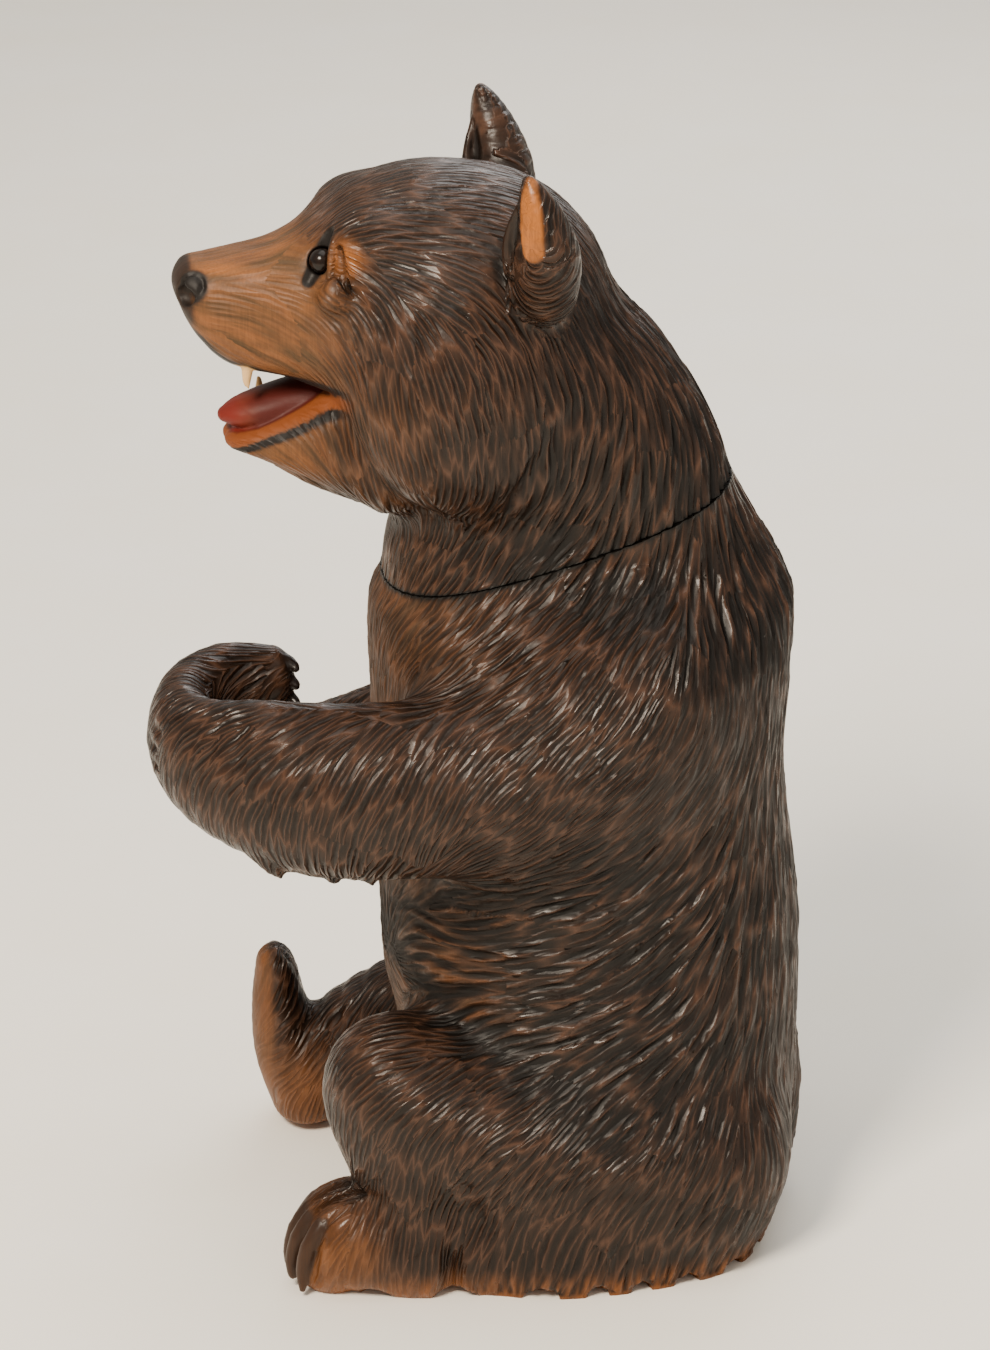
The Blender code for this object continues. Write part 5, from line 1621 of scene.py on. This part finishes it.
class BearJarColours(bpy.types.PropertyGroup):
    stain: tint("Stain", "Dark brown spirit stain", "#1c110a")
    stain_warm: tint("Warm stain", "Where the stain is thinner", "#2e1d13")
    # The colour of rubbed ridges, and of the painted highlight on the crests.
    ridge_wear_and_light: tint("Ridge", "Rubbed ridges between the gouge cuts", "#583d2e")
    # Also the dark of the painted shade in stroke beds, hollows and creases.
    groove_stain_and_shade: tint("Groove", "Stain and dirt at the bottom of a cut", "#070503")
    gold: tint("Gold", "Thin golden stain on the muzzle", "#7e4f2b")
    olive: tint("Olive", "Thin golden stain where it has greyed", "#4c3822")
    worn: tint("Worn", "Bare wood where the stain is rubbed through", "#a3612a")
    # Black is also the painted shade in the eye hollows, the ear hollows and the furrow behind each eye.
    black: tint("Black", "Paint on nose, lips and claws", "#15110f")
    tongue: tint("Tongue", "Paint on the tongue", "#661c12")
    gum: tint("Gum", "Paint inside the lower lip", "#743c18")
    # Red paint inside the mouth, darkened as painted shade; also the shade at the back of the tongue.
    mouth_paint_and_shade: tint("Palate", "Paint inside the mouth", "#320f0b")
    ivory: tint("Ivory", "Paint on the teeth", "#dbb27a")
    glass: tint("Glass", "Eye glass", "#0c0908")
    glass_light: tint("Glass light", "Eye glass where light comes through", "#20130c")
    floor: tint("Floor", "Board that the jar stands on", "#faf5ea")


class BearJarSizes(bpy.types.PropertyGroup):
    body_faces: prop(bpy.props.IntProperty, "Body triangles", "Triangles left in the carved body", 196000)
    head_faces: prop(bpy.props.IntProperty, "Head triangles", "Triangles left in the carved head", 190000)
    eye_flat: prop(bpy.props.FloatProperty, "Eye flatness", "How far the bead bulges for its width", 1.0)
    camera_distance: prop(bpy.props.FloatProperty, "Camera distance", "From the camera to the jar", 1.35,
                          unit="LENGTH")


class BEARJAR_OT_body(bpy.types.Operator):
    """Carves the body of the jar, with its locks of fur, its well and its finish"""

    bl_idname = "bearjar.body"
    bl_label = "Carve Body"

    def execute(self, context):
        scene = context.scene
        mesh = body_mesh(scene.bear_sizes.body_faces)
        paint(mesh, finished_bear)
        shown("carved_body", mesh, wood_of(scene), "root", "stained_wood", "body")
        return {"FINISHED"}


class BEARJAR_OT_head(bpy.types.Operator):
    """Carves the head that is the jar's lid, with its teeth and spigot"""

    bl_idname = "bearjar.head"
    bl_label = "Carve Head"

    def execute(self, context):
        scene = context.scene
        mesh = head_mesh(scene.bear_sizes.head_faces)
        paint(mesh, finished_bear)
        shown("carved_head", mesh, wood_of(scene), "root", "stained_wood", "head_lid")
        return {"FINISHED"}


class BEARJAR_OT_eyes(bpy.types.Operator):
    """Sets the two glass beads into the head"""

    bl_idname = "bearjar.eyes"
    bl_label = "Set Eyes"

    def execute(self, context):
        scene = context.scene
        glass = eye_glass(scene.bear_colours)
        for name in ("eye_left", "eye_right"):
            low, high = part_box(name)
            mesh = bead(np.array((low + high) / 2), (high - low).x / 2, scene.bear_sizes.eye_flat)
            shown(name.replace("eye", "bead"), mesh, glass, "root", "dark_glass", name)
        return {"FINISHED"}


class BEARJAR_OT_studio(bpy.types.Operator):
    """Lays the pale floor and sets the lights and the camera"""

    bl_idname = "bearjar.studio"
    bl_label = "Set Studio"

    def execute(self, context):
        scene = context.scene
        floor = bpy.data.objects.new("floor", bpy.data.meshes.new("floor"))
        side = FLOOR_SIDE / 2
        floor.data.from_pydata([(-side, -side, 0), (side, -side, 0), (side, side, 0), (-side, side, 0)], [],
                               [(0, 1, 2, 3)])
        floor.data.materials.append(pale_board(scene.bear_colours.floor))
        scene.collection.objects.link(floor)
        for light in LIGHTS:
            softbox(*light)
        world = bpy.data.worlds.new("studio_air")
        world.use_nodes = True
        world.node_tree.nodes["Background"].inputs["Color"].default_value = linear(AIR_COLOUR)
        world.node_tree.nodes["Background"].inputs["Strength"].default_value = AIR_LIGHT
        scene.world = world
        self.set_camera(scene)
        return {"FINISHED"}

    def set_camera(self, scene):
        """The camera stands off along its line of sight and keeps the photograph's frame."""
        lens = bpy.data.cameras.new("camera")
        lens.sensor_fit = "VERTICAL"
        lens.sensor_height = SENSOR
        lens.lens = SENSOR * LENS_PIXELS / PHOTO_HEIGHT
        lens.clip_start, lens.clip_end = 0.05, 20
        around, up = math.radians(CAMERA_AROUND), math.radians(CAMERA_UP)
        back = Vector((math.sin(around) * math.cos(up), -math.cos(around) * math.cos(up), math.sin(up)))
        camera = bpy.data.objects.new("camera", lens)
        place = Vector(in_metres([CAMERA_AIM])[0]) + back * scene.bear_sizes.camera_distance
        aimed(camera, place, place - back)
        scene.camera = camera


class BEARJAR_PT_panel(bpy.types.Panel):
    """Lists the steps that make the jar"""

    bl_label = "Bear Jar"
    bl_idname = "BEARJAR_PT_panel"
    bl_space_type = "VIEW_3D"
    bl_region_type = "UI"
    bl_category = "Bear Jar"

    def draw(self, context):
        for step in STEPS:
            self.layout.operator(step.bl_idname)
        for group in (context.scene.bear_sizes, context.scene.bear_colours):
            for name in group.bl_rna.properties.keys():
                if name not in ("rna_type", "name"):
                    self.layout.prop(group, name)


def wood_of(scene):
    """The one wood material that body and head share."""
    return bpy.data.materials.get("varnished_carved_limewood") or stained_wood(scene.bear_colours)


STEPS = (BEARJAR_OT_body, BEARJAR_OT_head, BEARJAR_OT_eyes, BEARJAR_OT_studio)
CLASSES = (BearJarColours, BearJarSizes, *STEPS, BEARJAR_PT_panel)


def register():
    for made in CLASSES:
        bpy.utils.register_class(made)
    bpy.types.Scene.bear_colours = bpy.props.PointerProperty(type=BearJarColours)
    bpy.types.Scene.bear_sizes = bpy.props.PointerProperty(type=BearJarSizes)


def unregister():
    del bpy.types.Scene.bear_sizes
    del bpy.types.Scene.bear_colours
    for made in reversed(CLASSES):
        bpy.utils.unregister_class(made)


def main():
    register()
    for step in (bpy.ops.bearjar.body, bpy.ops.bearjar.head, bpy.ops.bearjar.eyes, bpy.ops.bearjar.studio):
        step()


if __name__ == "__main__":
    main()
